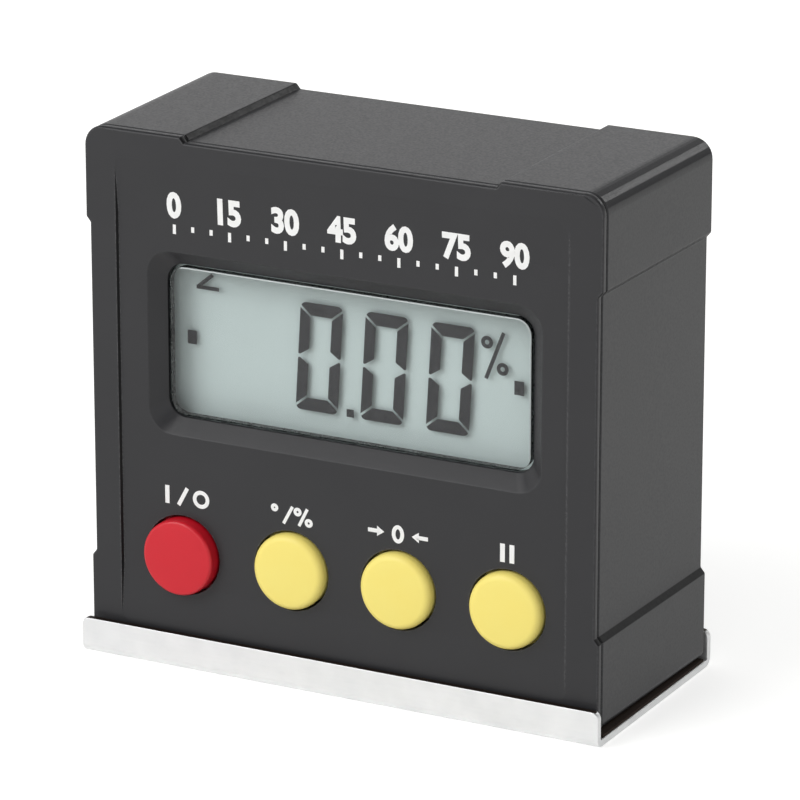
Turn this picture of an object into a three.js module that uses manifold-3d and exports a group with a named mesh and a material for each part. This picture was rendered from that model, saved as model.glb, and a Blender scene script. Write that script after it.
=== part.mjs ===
// Digital inclinometer: a box-shaped electronic angle gauge on a magnetic steel base channel.
// Millimetres, +Z up, the display faces -Y. The origin is on the standing surface, under the middle.
// Depths are measured from the front of the case towards its back.
import * as THREE from 'three';
import { mergeVertices } from 'three/addons/utils/BufferGeometryUtils.js';
import Module from 'manifold-3d';

const wasm = await Module();
wasm.setup();

// Case, as seen from the front
const bezelSideMargin = 6.95;
const bezelTopMargin = 12.55;
const buttonToBezel = 12.85;
const buttonRowRise = 11.8;
const sidePadRise = 0.5;
const sideDraft = 0.5;
const topPadRise = 0.6;
const topPadLength = 11.5;
const topPadRamp = 0.5;
const upperPadLength = 10;
const lowerPadLength = 9.7;
const sidePadRamp = 0.6;
const cornerRadius = 2.2;
const footRadius = 1;

// Case walls and the joint between its two halves
const wall = 1.8;
const coverPlate = 2;
const coverEdge = 0.85;
const partingGap = 0.3;
const frontEdgeRound = 0.3;
const rimEdgeRound = 0.15;
const backEdgeRound = 0.45;
const tongueWall = 1.2;
const tongueReach = 1.5;
const cavityCorner = 1;
const rearPanel = 2.6;

// Sunk middle panel of the face, between the two side strips
const panelSink = 0.3;
const panelSideRamp = 0.15;
const panelEndRamp = 5;
const panelEndMargin = 3;
const stripWidth = 3.7;
const stripFall = 0.15;

// Display window and its sunk bezel
const windowWidth = 42.8;
const windowHeight = 16.8;
const windowCorner = 2;
const windowOffset = 0.25;
const bezelSlope = 1.65;
const bezelDepth = 1.5;
const windowPad = 0.4;
const windowPadLap = 3;

// Lens, its tape and the liquid crystal cell behind it
const lensClearance = 0.3;
const lensProud = 0.2;
const lensEdgeRound = 0.12;
const lensLap = 1.5;
const lensFlange = 0.6;
const tapeThickness = 0.2;
const lensToGlass = 0.2;
const glassThickness = 0.5;
const glassSideLap = 1.85;
const frontGlassLap = 2.8;
const rearGlassLap = 0.8;
const reflectorThickness = 0.2;
const contactStripWidth = 1.4;
const contactStripInset = 1.1;

// Frame that holds the cell on the board
const frameWall = 1.3;
const frameDepth = 3.4;
const frameFit = 0.3;
const frameOpeningInset = 4.4;
const frameOpeningDrop = 2.95;
const pinRadius = 0.6;
const pinReach = 1.3;

// Push buttons and the switches behind them
const buttonCount = 4;
const buttonPitch = 12.65;
const buttonRowOffset = 0.5;
const powerOutset = 0.4;
const powerDrop = 0.4;
const capRadius = 4.15;
const powerCap = { proud: 1.5, edgeRound: 0.4 };
const keyCap = { proud: 1.15, edgeRound: 0.8 };
const capCrown = 0.12;
const holeClearance = 0.25;
const flangeLap = 0.5;
const flangeThickness = 0.8;
const flangePlay = 0.2;
const stemRadius = 2;
const collarWall = 0.7;
const collarReach = 2;
const buttonTravel = 0.4;
const switchSide = 6;
const packageCorner = 0.5;
const switchHeight = 3.5;
const plungerRadius = 1.7;
const plungerProud = 1;
const plungerHeld = 1.2;

// Circuit board and what stands on it
const boardThickness = 1.6;
const boardMargin = 0.5;
const componentSpace = 1.7;
const postRadius = 1.9;
const postGap = 0.5;
const upperPostSpread = 18;
const processorRadius = 5.5;
const processorHeight = 1.2;
const sensorSide = 5;
const sensorHeight = 1.4;
const crystalRadius = 1.05;
const crystalLength = 6;
const capacitorRadius = 2.5;
const capacitorHeight = 5;
const componentRowRise = 3.4;
const sensorAcross = 12;
const crystalAcross = 1;
const capacitorAcross = 13;

// Screws, by head, shank and the hole each one cuts into
const caseBossRadius = 2.3;
const bossGap = 0.3;
const bossInset = 0.4;
const screwSeat = 2;
const tubeWall = 0.9;
const caseScrew = { headRadius: 2, headHeight: 1.5, shankRadius: 1.1, shankLength: 9, tipLength: 1.2 };
const boardScrew = { headRadius: 1.6, headHeight: 1.1, shankRadius: 0.8, shankLength: 4.6, tipLength: 0.8 };
const driveLength = 2;
const driveWidth = 0.5;
const driveDepth = 0.6;
const holeFit = 0.15;
const passFit = 0.3;
const headFit = 0.4;

// Cells and their contacts
const cellRadius = 5.25;
const cellLength = 44.5;
const nubRadius = 1.9;
const nubLength = 0.9;
const cellEdgeRound = 0.5;
const cellGap = 0.5;
const cellFit = 0.4;
const cellCoverFit = 0.3;
const bayWall = 1.5;
const bayEndGap = 2;
const cradleCount = 3;
const cradlePitch = 14;
const cradleWidth = 1.6;
const cradleRise = 3;
const contactPlate = 0.4;
const contactWidth = 7;
const contactDepth = 8;
const legWidth = 2.5;
const springLength = 3;
const springTurns = 3.5;
const springWire = 0.3;
const springFit = 0.15;
const springWideRadius = 3.6;
const springNarrowRadius = 2.4;

// Battery cover in the back
const lidThickness = 1.5;
const lidSink = 0.1;
const lidLap = 1.7;
const lidFit = 0.3;
const lidCorner = 2;
const lidRound = 0.3;
const lugWidth = 5;
const lugLength = 1.4;
const lugReach = 1.2;
const lugSpread = 15;
const latchWidth = 11;
const latchLength = 5;
const latchSlit = 0.8;
const ridgeCount = 3;
const ridgeWidth = 8;
const ridgeThickness = 0.5;
const ridgeRound = 0.2;
const ridgePitch = 1.3;
const ridgeRise = 0.3;
const scoopRadius = 6;
const scoopDepth = 0.9;

// Base: bent steel channel, adhesive pad and magnets
const sheet = 0.8;
const bendRadius = 0.25;
const lipHeight = 4;
const lipCorner = 0.8;
const lipGap = 0.35;
const channelOverhang = 0.65;
const padThickness = 0.3;
const padEndInset = 0.15;
const padSideInset = 0.4;
const magnetLength = 24;
const magnetDepth = 16;
const magnetHeight = 2.8;
const magnetPitch = 28;
const magnetFit = 0.3;
const magnetRoof = 0.8;

// Smoothness of round shapes, as counts
const arcSteps = 3;
const caseArcSteps = 5;
const roundSteps = 2;
const ringSteps = 20;
const capSteps = 28;
const wireSides = 5;
const wireStepsPerTurn = 8;

// How far a cut runs past the face that it opens, and how near two corners are the same one
const cutOverrun = 1;
const weldDistance = 1e-4;

// Depths of the layers, from the front of the case to its back
const panelPlane = panelSink;
const bezelFloor = panelPlane + bezelDepth;
const windowBack = coverPlate + windowPad;
const flangeFront = windowBack + tapeThickness;
const flangeBack = flangeFront + lensFlange;
const glassFront = flangeBack + lensToGlass;
const glassMiddle = glassFront + glassThickness;
const glassBack = glassMiddle + glassThickness;
const ledgePlane = glassBack + reflectorThickness;
const boardFront = ledgePlane + frameDepth;
const boardBack = boardFront + boardThickness;
const bayWallFront = boardBack + componentSpace;
const bayFront = bayWallFront + bayWall;
const cellAxis = bayFront + cellCoverFit + cellRadius;
const lidSeat = cellAxis + cellRadius + cellCoverFit;
const bodyDepth = lidSeat + lidThickness + lidSink;
const panelInner = bodyDepth - rearPanel;
const bossMeeting = bayWallFront + 2 * bossGap;
const tubeFront = bossMeeting + bossGap;
const headSeat = tubeFront + screwSeat;

// Heights above the standing surface
const bodyBottom = sheet + padThickness;
const buttonRow = bodyBottom + buttonRowRise;
const bezelHeight = windowHeight + 2 * bezelSlope;
const windowMiddle = buttonRow + buttonToBezel + bezelHeight / 2;
const bodyTop = windowMiddle + bezelHeight / 2 + bezelTopMargin;
const cavityBottom = bodyBottom + magnetHeight + magnetFit + magnetRoof;
const cavityTop = bodyTop - topPadRise - wall;
const cavityMiddle = (cavityBottom + cavityTop) / 2;
const cavityHeight = cavityTop - cavityBottom;

// Widths, from the middle outwards or across. The case is as wide as the display asks for, and always
// wide enough for the battery bay.
const bayLength = cellLength + springLength + 2 * contactPlate;
const bodyWidth = Math.max(
  windowWidth + 2 * bezelSlope + 2 * bezelSideMargin,
  bayLength + 2 * (bayWall + bayEndGap + wall + sidePadRise),
);
const cavityWidth = bodyWidth - 2 * sidePadRise - 2 * wall;
const glassWidth = windowWidth + 2 * glassSideLap;
const frontGlassHeight = windowHeight + 2 * frontGlassLap;
const rearGlassHeight = windowHeight + 2 * rearGlassLap;
const frameWidth = glassWidth + 2 * frameFit + 2 * frameWall;
const frameHeight = frontGlassHeight + 2 * frameFit + 2 * frameWall;
const holeRadius = capRadius + holeClearance;
const flangeRadius = holeRadius + flangeLap;
const collarInner = flangeRadius + passFit;
const buttonPlaces = Array.from(
  { length: buttonCount },
  (_, i) => [buttonRowOffset + (i - (buttonCount - 1) / 2) * buttonPitch, buttonRow],
);
const postLine = (buttonPlaces.at(-1)[0] + buttonPlaces.at(-2)[0]) / 2 - buttonRowOffset;
// The first one, for power, stands a little outside and below the line of the others
buttonPlaces[0] = [buttonPlaces[0][0] - powerOutset, buttonRow - powerDrop];
const cellPitch = 2 * cellRadius + cellGap;
const bayHeight = cellPitch + 2 * cellRadius + 2 * cellFit;
const lidWidth = bayLength + 2 * lidLap;
const lidHeight = bayHeight + 2 * lidLap;
const plateInner = bayLength / 2 - contactPlate;

const quarterTurn = Math.PI / 2;

// Closed geometry to solid: only positions are kept, shared corners are welded, flat triangles dropped,
// and a surface that faces inwards is turned round.
function solid(geometry) {
  geometry.deleteAttribute('normal');
  geometry.deleteAttribute('uv');
  const welded = mergeVertices(geometry, weldDistance);
  const index = welded.index.array;
  const triangles = [];
  for (let i = 0; i < index.length; i += 3) {
    const [a, b, c] = index.slice(i, i + 3);
    if (a !== b && b !== c && c !== a) triangles.push(a, b, c);
  }
  const vertProperties = welded.attributes.position.array;
  const wrap = (list) =>
    new wasm.Manifold(new wasm.Mesh({ numProp: 3, vertProperties, triVerts: new Uint32Array(list) }));
  const made = wrap(triangles);
  return made.volume() > 0 ? made : wrap(triangles.reverse());
}

// Several solids joined into one
function joined(...parts) {
  return parts.flat().reduce((whole, part) => whole.add(part));
}

// A solid with several others cut away
function cut(whole, ...tools) {
  return tools.flat().reduce((rest, tool) => rest.subtract(tool), whole);
}

// Outline seen from the front, made into a slab between two depths, both edges rounded alike
function evenSlab(outline, front, back, round) {
  const geometry = new THREE.ExtrudeGeometry(outline, {
    depth: back - front - 2 * round,
    curveSegments: arcSteps,
    bevelEnabled: round > 0,
    bevelThickness: round,
    bevelSize: round,
    bevelOffset: -round,
    bevelSegments: roundSteps,
  });
  geometry.rotateX(quarterTurn);
  geometry.translate(0, back - round, 0);
  return solid(geometry);
}

// The same, with its own edge rounding in front and behind
function slab(outline, front, back, frontRound = 0, backRound = 0) {
  if (frontRound === backRound) return evenSlab(outline, front, back, frontRound);
  const fromFront = evenSlab(outline, front, back + 2 * frontRound, frontRound);
  const fromBack = evenSlab(outline, front - 2 * backRound, back, backRound);
  return fromFront.intersect(fromBack);
}

// Rectangle with round corners, as seen from the front
function panelOutline(width, height, radius, x = 0, z = 0) {
  const shape = new THREE.Shape();
  const right = x + width / 2;
  const left = x - width / 2;
  const top = z + height / 2;
  const bottom = z - height / 2;
  shape.moveTo(right, bottom + radius);
  shape.absarc(right - radius, top - radius, radius, 0, quarterTurn);
  shape.absarc(left + radius, top - radius, radius, quarterTurn, 2 * quarterTurn);
  shape.absarc(left + radius, bottom + radius, radius, 2 * quarterTurn, 3 * quarterTurn);
  shape.absarc(right - radius, bottom + radius, radius, 3 * quarterTurn, 4 * quarterTurn);
  return shape;
}

// Plain rectangular block between two corners, given as x, depth and height
function block(from, to) {
  const size = to.map((value, axis) => value - from[axis]);
  const geometry = new THREE.BoxGeometry(...size);
  geometry.translate(...from.map((value, axis) => value + size[axis] / 2));
  return solid(geometry);
}

// Round bar along the depth, between two depths
function bar(radius, front, back, x = 0, z = 0, steps = ringSteps) {
  const geometry = new THREE.CylinderGeometry(radius, radius, back - front, steps);
  geometry.translate(x, (front + back) / 2, z);
  return solid(geometry);
}

// Round bar from left to right across the case
function crossBar(radius, left, right, depth, z) {
  const geometry = new THREE.CylinderGeometry(radius, radius, right - left, ringSteps);
  geometry.rotateZ(quarterTurn);
  geometry.translate((left + right) / 2, depth, z);
  return solid(geometry);
}

// Shape turned about the depth axis from radius and depth pairs, which run from front to back
function turned(profile, steps = ringSteps) {
  const points = profile.map(([radius, depth]) => new THREE.Vector2(radius, depth));
  return solid(new THREE.LatheGeometry(points, steps));
}

// Quarter round between a face and a side, as radius and depth pairs
function quarterRound(radius, centreRadius, centreDepth, fromAngle, steps = roundSteps + 1) {
  return Array.from({ length: steps + 1 }, (_, i) => {
    const angle = fromAngle + (quarterTurn * i) / steps;
    return [centreRadius + radius * Math.cos(angle), centreDepth + radius * Math.sin(angle)];
  });
}

// Slab whose outline narrows from one rounded rectangle to another between two depths
function taperedPocket(front, back, outer, inner, x, z) {
  const rings = [
    { depth: front, ...outer },
    { depth: back, ...inner },
  ].map(({ depth, width, height, radius }) => {
    const points = panelOutline(width, height, radius, x, z).getPoints(arcSteps);
    return points.slice(0, -1).map((point) => new THREE.Vector3(point.x, depth, point.y));
  });
  const count = rings[0].length;
  const corners = [...rings[0], ...rings[1]];
  corners.push(new THREE.Vector3(x, front, z), new THREE.Vector3(x, back, z));
  const triangles = [];
  for (let i = 0; i < count; i += 1) {
    const next = (i + 1) % count;
    triangles.push(i, next, count + i, next, count + next, count + i);
    triangles.push(2 * count, next, i, 2 * count + 1, count + i, count + next);
  }
  const geometry = new THREE.BufferGeometry().setFromPoints(corners);
  geometry.setIndex(triangles);
  return solid(geometry);
}

// Finished sub-part: a solid with its name, colour, roughness and metalness
function piece(name, body, color, roughness, metalness = 0) {
  const { vertProperties, triVerts } = body.getMesh();
  const geometry = new THREE.BufferGeometry();
  geometry.setAttribute('position', new THREE.BufferAttribute(vertProperties, 3));
  geometry.setIndex(new THREE.BufferAttribute(triVerts, 1));
  geometry.computeVertexNormals();
  const mesh = new THREE.Mesh(geometry, new THREE.MeshStandardMaterial({ color, roughness, metalness }));
  mesh.name = name;
  return mesh;
}

// Outline of the case: raised pads at the four corners, ramped down to recessed flats between them
function bodyOutline() {
  const right = bodyWidth / 2;
  const waist = right - sidePadRise;
  const half = new THREE.Path();
  half.moveTo(0, bodyBottom);
  half.absarc(right - footRadius, bodyBottom + footRadius, footRadius, -quarterTurn, 0);
  half.lineTo(right, bodyBottom + lowerPadLength);
  half.lineTo(waist, bodyBottom + lowerPadLength + sidePadRamp);
  half.lineTo(waist, bodyTop - upperPadLength - sidePadRamp);
  half.lineTo(right, bodyTop - upperPadLength);
  half.absarc(right - cornerRadius, bodyTop - cornerRadius, cornerRadius, 0, quarterTurn);
  half.lineTo(right - topPadLength, bodyTop);
  half.lineTo(right - topPadLength - topPadRamp, bodyTop - topPadRise);
  half.lineTo(0, bodyTop - topPadRise);
  const points = half.getPoints(caseArcSteps);
  const mirrored = points.slice(1, -1).reverse();
  return new THREE.Shape([...points, ...mirrored.map((point) => new THREE.Vector2(-point.x, point.y))]);
}

// Where the screws go: case screws low between the buttons and in the upper corners, board screws inside
const upperBossX = cavityWidth / 2 - bossInset - caseBossRadius;
const casePlaces = [
  [buttonRowOffset - postLine, cavityBottom + bossInset + caseBossRadius],
  [buttonRowOffset + postLine, cavityBottom + bossInset + caseBossRadius],
  [-upperBossX, cavityTop - bossInset - caseBossRadius],
  [upperBossX, cavityTop - bossInset - caseBossRadius],
];
const boardPlaces = [
  [buttonRowOffset - postLine, windowMiddle - frameHeight / 2 - postGap - postRadius],
  [buttonRowOffset + postLine, windowMiddle - frameHeight / 2 - postGap - postRadius],
  [-upperPostSpread, windowMiddle + frameHeight / 2 + postGap + postRadius],
  [upperPostSpread, windowMiddle + frameHeight / 2 + postGap + postRadius],
];
const pinPlaces = [-1, 1].flatMap((side) =>
  [-1, 1].map((end) => [
    windowOffset + side * (frameWidth / 2 - frameWall + pinRadius / 2),
    windowMiddle + end * (frameHeight / 2 - frameWall + pinRadius / 2),
  ]),
);

// Wedge that lets a side strip of the face fall back towards the edge of the case
function stripWedge(side) {
  const edge = bodyWidth / 2 + cutOverrun;
  const fall = (stripFall * (stripWidth + cutOverrun)) / stripWidth;
  const start = bodyWidth / 2 - stripWidth;
  const section = new THREE.Shape([
    new THREE.Vector2(side * start, 0),
    new THREE.Vector2(side * edge, fall),
    new THREE.Vector2(side * edge, -cutOverrun),
    new THREE.Vector2(side * start, -cutOverrun),
  ]);
  const geometry = new THREE.ExtrudeGeometry(section, {
    depth: bodyTop - bodyBottom + 2 * cutOverrun,
    bevelEnabled: false,
  });
  geometry.translate(0, 0, bodyBottom - cutOverrun);
  return solid(geometry);
}

// Front cover: a moulded plate with the sunk panel, display bezel, button holes, collars, bosses and posts
function frontCover() {
  const plateWidth = cavityWidth - 2 * bossGap;
  const plateHeight = cavityHeight - 2 * bossGap;
  const tongueBack = coverEdge + partingGap + tongueReach;
  const inside = panelOutline(plateWidth, plateHeight, cavityCorner, 0, cavityMiddle);
  const pocket = panelOutline(
    plateWidth - 2 * tongueWall, plateHeight - 2 * tongueWall, cavityCorner, 0, cavityMiddle,
  );
  const padWidth = windowWidth + 2 * windowPadLap;
  const padHeight = windowHeight + 2 * windowPadLap;
  const pad = panelOutline(padWidth, padHeight, windowCorner, windowOffset, windowMiddle);
  const plate = joined(
    slab(bodyOutline(), 0, coverEdge, frontEdgeRound, 0),
    cut(slab(inside, coverEdge / 2, tongueBack), slab(pocket, coverPlate, tongueBack + cutOverrun)),
    slab(pad, coverEdge, windowBack),
  );
  const panelWidth = bodyWidth - 2 * stripWidth;
  const panelHeight = bodyTop - bodyBottom - 2 * panelEndMargin;
  const panelMiddle = (bodyTop + bodyBottom) / 2;
  const overshoot = (cutOverrun * panelSideRamp) / panelSink;
  const endOvershoot = (cutOverrun * panelEndRamp) / panelSink;
  const panel = taperedPocket(
    -cutOverrun,
    panelPlane,
    { width: panelWidth + 2 * overshoot, height: panelHeight + 2 * endOvershoot, radius: cavityCorner },
    { width: panelWidth - 2 * panelSideRamp, height: panelHeight - 2 * panelEndRamp, radius: cavityCorner },
    0,
    panelMiddle,
  );
  const spread = (bezelSlope * (bezelDepth + panelPlane)) / bezelDepth;
  const bezel = taperedPocket(
    0,
    bezelFloor,
    { width: windowWidth + 2 * spread, height: windowHeight + 2 * spread, radius: windowCorner + spread / 2 },
    { width: windowWidth, height: windowHeight, radius: windowCorner },
    windowOffset,
    windowMiddle,
  );
  const window = panelOutline(windowWidth, windowHeight, windowCorner, windowOffset, windowMiddle);
  const collars = buttonPlaces.map(([x, z]) =>
    bar(collarInner + collarWall, coverPlate / 2, coverPlate + collarReach, x, z),
  );
  const collarBores = buttonPlaces.map(([x, z]) =>
    bar(collarInner, coverPlate, coverPlate + collarReach + cutOverrun, x, z),
  );
  const bosses = casePlaces.map(([x, z]) => bar(caseBossRadius, coverEdge, bossMeeting, x, z));
  const posts = boardPlaces.map(([x, z]) => bar(postRadius, coverEdge, boardFront, x, z));
  const tipDepth = headSeat - caseScrew.shankLength - passFit;
  const pilots = casePlaces.map(([x, z]) =>
    bar(caseScrew.shankRadius + holeFit, tipDepth, bossMeeting + cutOverrun, x, z),
  );
  const boardTip = boardBack - boardScrew.shankLength - passFit;
  const boardPilots = boardPlaces.map(([x, z]) =>
    bar(boardScrew.shankRadius + holeFit, boardTip, boardFront + cutOverrun, x, z),
  );
  return cut(
    joined(cut(joined(plate, collars), collarBores), bosses, posts),
    panel,
    bezel,
    slab(window, 0, windowBack + cutOverrun),
    buttonPlaces.map(([x, z]) => bar(holeRadius, -cutOverrun, windowBack, x, z, capSteps)),
    pilots,
    boardPilots,
    [-1, 1].map(stripWedge),
  );
}

// Ribs across the floor of the battery bay, hollowed out for the two cells
function cellCradles() {
  const bores = [-1, 1].map((row) => {
    const z = cavityMiddle + (row * cellPitch) / 2;
    return crossBar(cellRadius + cellFit, -bayLength / 2, bayLength / 2, cellAxis, z);
  });
  const half = (bayHeight + bayWall) / 2;
  const ribs = Array.from({ length: cradleCount }, (_, i) => {
    const x = (i - (cradleCount - 1) / 2) * cradlePitch;
    const from = [x - cradleWidth / 2, bayFront - bayWall / 2, cavityMiddle - half];
    return block(from, [x + cradleWidth / 2, bayFront + cradleRise, cavityMiddle + half]);
  });
  return ribs.map((rib) => cut(rib, bores));
}

// Outside of the rear housing. The mould's draft makes its sides spread a little towards the back.
function housingBlock(front) {
  const block = slab(bodyOutline(), front, bodyDepth, rimEdgeRound, backEdgeRound);
  const sideStart = (bodyWidth - topPadLength) / 2;
  return block.warp((corner) => {
    const [x, depth] = corner;
    const spread = (sideDraft * (depth - front)) / (bodyDepth - front);
    if (Math.abs(x) > sideStart) corner[0] += Math.sign(x) * spread;
  });
}

// Rear housing: a deep tub with the battery bay, screw tubes, magnet pockets and the seat of the lid
function rearHousing() {
  const front = coverEdge + partingGap;
  const cavity = panelOutline(cavityWidth, cavityHeight, cavityCorner, 0, cavityMiddle);
  const bayOutside = panelOutline(
    bayLength + 2 * bayWall, bayHeight + 2 * bayWall, cavityCorner, 0, cavityMiddle,
  );
  const bayInside = panelOutline(bayLength, bayHeight, cavityCorner, 0, cavityMiddle);
  const lidRecess = panelOutline(
    lidWidth + 2 * lidFit, lidHeight + 2 * lidFit, lidCorner + lidFit, 0, cavityMiddle,
  );
  const tubRadius = caseScrew.headRadius + headFit + tubeWall;
  const tub = cut(
    housingBlock(front),
    slab(cavity, front - cutOverrun, panelInner),
  );
  const tubes = casePlaces.map(([x, z]) => bar(tubRadius, tubeFront, bodyDepth - rearPanel / 2, x, z));
  const holes = casePlaces.map(([x, z]) =>
    bar(caseScrew.shankRadius + passFit, tubeFront - cutOverrun, headSeat + cutOverrun, x, z),
  );
  const counterbores = casePlaces.map(([x, z]) =>
    bar(caseScrew.headRadius + headFit, headSeat, bodyDepth + cutOverrun, x, z),
  );
  const slots = [-1, 1].map((side) => {
    const z = cavityMiddle + (side * cellPitch) / 2;
    const outer = -bayLength / 2;
    const inner = -plateInner + passFit;
    const reach = legWidth / 2 + passFit;
    return block([outer, bayWallFront - cutOverrun, z - reach], [inner, bayFront + cutOverrun, z + reach]);
  });
  const pockets = [-1, 1].map((side) =>
    block(
      [(side * magnetPitch - magnetLength) / 2 - magnetFit, (bodyDepth - magnetDepth) / 2 - magnetFit,
        bodyBottom - cutOverrun],
      [(side * magnetPitch + magnetLength) / 2 + magnetFit, (bodyDepth + magnetDepth) / 2 + magnetFit,
        bodyBottom + magnetHeight + magnetFit],
    ),
  );
  const scoopHeight = cavityMiddle + lidHeight / 2 + lidFit;
  const bay = cut(
    joined(tub, slab(bayOutside, bayWallFront, bodyDepth - rearPanel / 2), tubes),
    slab(bayInside, bayFront, bodyDepth + cutOverrun),
  );
  return cut(
    joined(bay, cellCradles()),
    slab(lidRecess, lidSeat, bodyDepth + cutOverrun),
    bar(scoopRadius, bodyDepth - scoopDepth, bodyDepth + cutOverrun, 0, scoopHeight),
    holes,
    counterbores,
    slots,
    pockets,
  );
}

// Lens: a plug that fills the window and stands a little proud of it, and a flange behind
function displayLens() {
  const plug = panelOutline(
    windowWidth - 2 * lensClearance, windowHeight - 2 * lensClearance,
    windowCorner - lensClearance, windowOffset, windowMiddle,
  );
  const flange = panelOutline(
    windowWidth + 2 * lensLap, windowHeight + 2 * lensLap, windowCorner, windowOffset, windowMiddle,
  );
  return joined(
    slab(plug, bezelFloor - lensProud, flangeFront + lensFlange / 2, lensEdgeRound, 0),
    slab(flange, flangeFront, flangeBack),
  );
}

// Tape ring between the lens flange and the back of the window
function lensTape() {
  const outer = panelOutline(
    windowWidth + 2 * lensLap, windowHeight + 2 * lensLap, windowCorner, windowOffset, windowMiddle,
  );
  const inner = panelOutline(windowWidth, windowHeight, windowCorner, windowOffset, windowMiddle);
  const opening = slab(inner, windowBack - cutOverrun, flangeFront + cutOverrun);
  return cut(slab(outer, windowBack, flangeFront), opening);
}

// Rectangular layer of the display cell
function cellLayer(height, front, back) {
  const left = windowOffset - glassWidth / 2;
  const bottom = windowMiddle - height / 2;
  return block([left, front, bottom], [left + glassWidth, back, bottom + height]);
}

// Place of an elastomer strip, above or below the rear glass
function stripMiddle(side) {
  return windowMiddle + side * (frontGlassHeight / 2 - contactStripInset);
}

// Elastomer strip that joins the glass to the board
function contactStrip(side) {
  const reach = glassWidth / 2 - contactStripInset;
  const half = contactStripWidth / 2;
  const z = stripMiddle(side);
  return block([windowOffset - reach, glassMiddle, z - half], [windowOffset + reach, boardFront, z + half]);
}

// Frame that carries the cell, with slots for the elastomer strips and pins into the board
function displayFrame() {
  const outside = panelOutline(frameWidth, frameHeight, cavityCorner, windowOffset, windowMiddle);
  const pocket = panelOutline(
    glassWidth + 2 * frameFit, frontGlassHeight + 2 * frameFit, cavityCorner, windowOffset, windowMiddle,
  );
  const opening = panelOutline(
    glassWidth - 2 * frameOpeningInset, rearGlassHeight - 2 * frameOpeningDrop, cavityCorner,
    windowOffset, windowMiddle,
  );
  const front = glassFront + tapeThickness;
  const slots = [-1, 1].map((side) => {
    const reach = glassWidth / 2 - contactStripInset + frameFit;
    const half = contactStripWidth / 2 + frameFit;
    const z = stripMiddle(side);
    const from = [windowOffset - reach, front, z - half];
    return block(from, [windowOffset + reach, boardFront + cutOverrun, z + half]);
  });
  return joined(
    cut(
      slab(outside, front, boardFront),
      slab(pocket, front - cutOverrun, ledgePlane),
      slab(opening, front, boardFront + cutOverrun),
      slots,
    ),
    pinPlaces.map(([x, z]) => bar(pinRadius, ledgePlane, boardFront + pinReach, x, z, ringSteps / 2)),
  );
}

// Circuit board, notched round the case bosses and drilled for screws and pins
function mainBoard() {
  const width = cavityWidth - 2 * boardMargin;
  const height = cavityHeight - 2 * boardMargin;
  const board = slab(panelOutline(width, height, cavityCorner, 0, cavityMiddle), boardFront, boardBack);
  const reach = caseBossRadius + boardMargin;
  const front = boardFront - cutOverrun;
  const back = boardBack + cutOverrun;
  const notches = casePlaces.map(([x, z]) => {
    const low = z < cavityMiddle ? cavityBottom : z - reach;
    const high = z < cavityMiddle ? z + reach : cavityTop;
    const outward = z < cavityMiddle ? reach : reach + cavityWidth;
    const left = x < 0 ? x - outward : x - reach;
    const right = x < 0 ? x + reach : x + outward;
    return block([left, front, low], [right, back, high]);
  });
  return cut(
    board,
    notches,
    boardPlaces.map(([x, z]) => bar(boardScrew.shankRadius + passFit, front, back, x, z, ringSteps / 2)),
    pinPlaces.map(([x, z]) => bar(pinRadius + passFit, front, back, x, z, ringSteps / 2)),
  );
}

// Button cap: crowned face with a rounded edge, retaining flange and stem, about its own axis
function buttonCap({ proud, edgeRound }) {
  const face = panelPlane - proud;
  const flangeSeat = coverPlate + flangePlay;
  const stemEnd = boardFront - switchHeight - plungerProud;
  const profile = [
    [0, face],
    [capRadius - edgeRound, face + capCrown],
    ...quarterRound(edgeRound, capRadius - edgeRound, face + capCrown + edgeRound, -quarterTurn).slice(1),
    [capRadius, flangeSeat],
    [flangeRadius, flangeSeat],
    [flangeRadius, flangeSeat + flangeThickness],
    [stemRadius, flangeSeat + flangeThickness],
    [stemRadius, stemEnd],
    [0, stemEnd],
  ];
  return turned(profile, capSteps);
}

// Body of a tact switch, with the well that its plunger slides in
function switchBody() {
  const front = boardFront - switchHeight;
  const well = plungerHeld + buttonTravel + passFit;
  const shell = slab(panelOutline(switchSide, switchSide, packageCorner), front, boardFront);
  return cut(shell, bar(plungerRadius + holeFit, front - cutOverrun, front + well));
}

// Plunger of a tact switch
function switchPlunger() {
  const front = boardFront - switchHeight;
  return bar(plungerRadius, front - plungerProud, front + plungerHeld);
}

// Pan-head screw about the depth axis, its head bearing at depth zero and its tip in front
function screw({ headRadius, headHeight, shankRadius, shankLength, tipLength }) {
  const profile = [
    [0, -shankLength],
    [shankRadius, tipLength - shankLength],
    [shankRadius, 0],
    [headRadius, 0],
    ...quarterRound(headHeight / 2, headRadius - headHeight / 2, headHeight / 2, 0),
    [0, headHeight],
  ];
  const cross = [[driveLength, driveWidth], [driveWidth, driveLength]].map(([across, high]) =>
    block([-across / 2, headHeight - driveDepth, -high / 2], [across / 2, headHeight + cutOverrun, high / 2]),
  );
  return cut(turned(profile, ringSteps / 2), cross);
}

// Cylindrical cell about the depth axis: its base first, its raised terminal last
function cell() {
  const shoulder = cellLength - nubLength;
  const profile = [
    [0, 0],
    ...quarterRound(cellEdgeRound, cellRadius - cellEdgeRound, cellEdgeRound, -quarterTurn, roundSteps),
    ...quarterRound(cellEdgeRound, cellRadius - cellEdgeRound, shoulder - cellEdgeRound, 0, roundSteps),
    [nubRadius, shoulder],
    [nubRadius, cellLength],
    [0, cellLength],
  ];
  return turned(profile);
}

// Tapered coil that presses on the base of a cell
class SpringPath extends THREE.Curve {
  getPoint(t) {
    const angle = 2 * Math.PI * springTurns * t;
    const radius = THREE.MathUtils.lerp(springWideRadius, springNarrowRadius, t);
    const start = springWire + springFit;
    const along = THREE.MathUtils.lerp(start, springLength - start, t);
    return new THREE.Vector3(radius * Math.cos(angle), along, radius * Math.sin(angle));
  }
}

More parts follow.
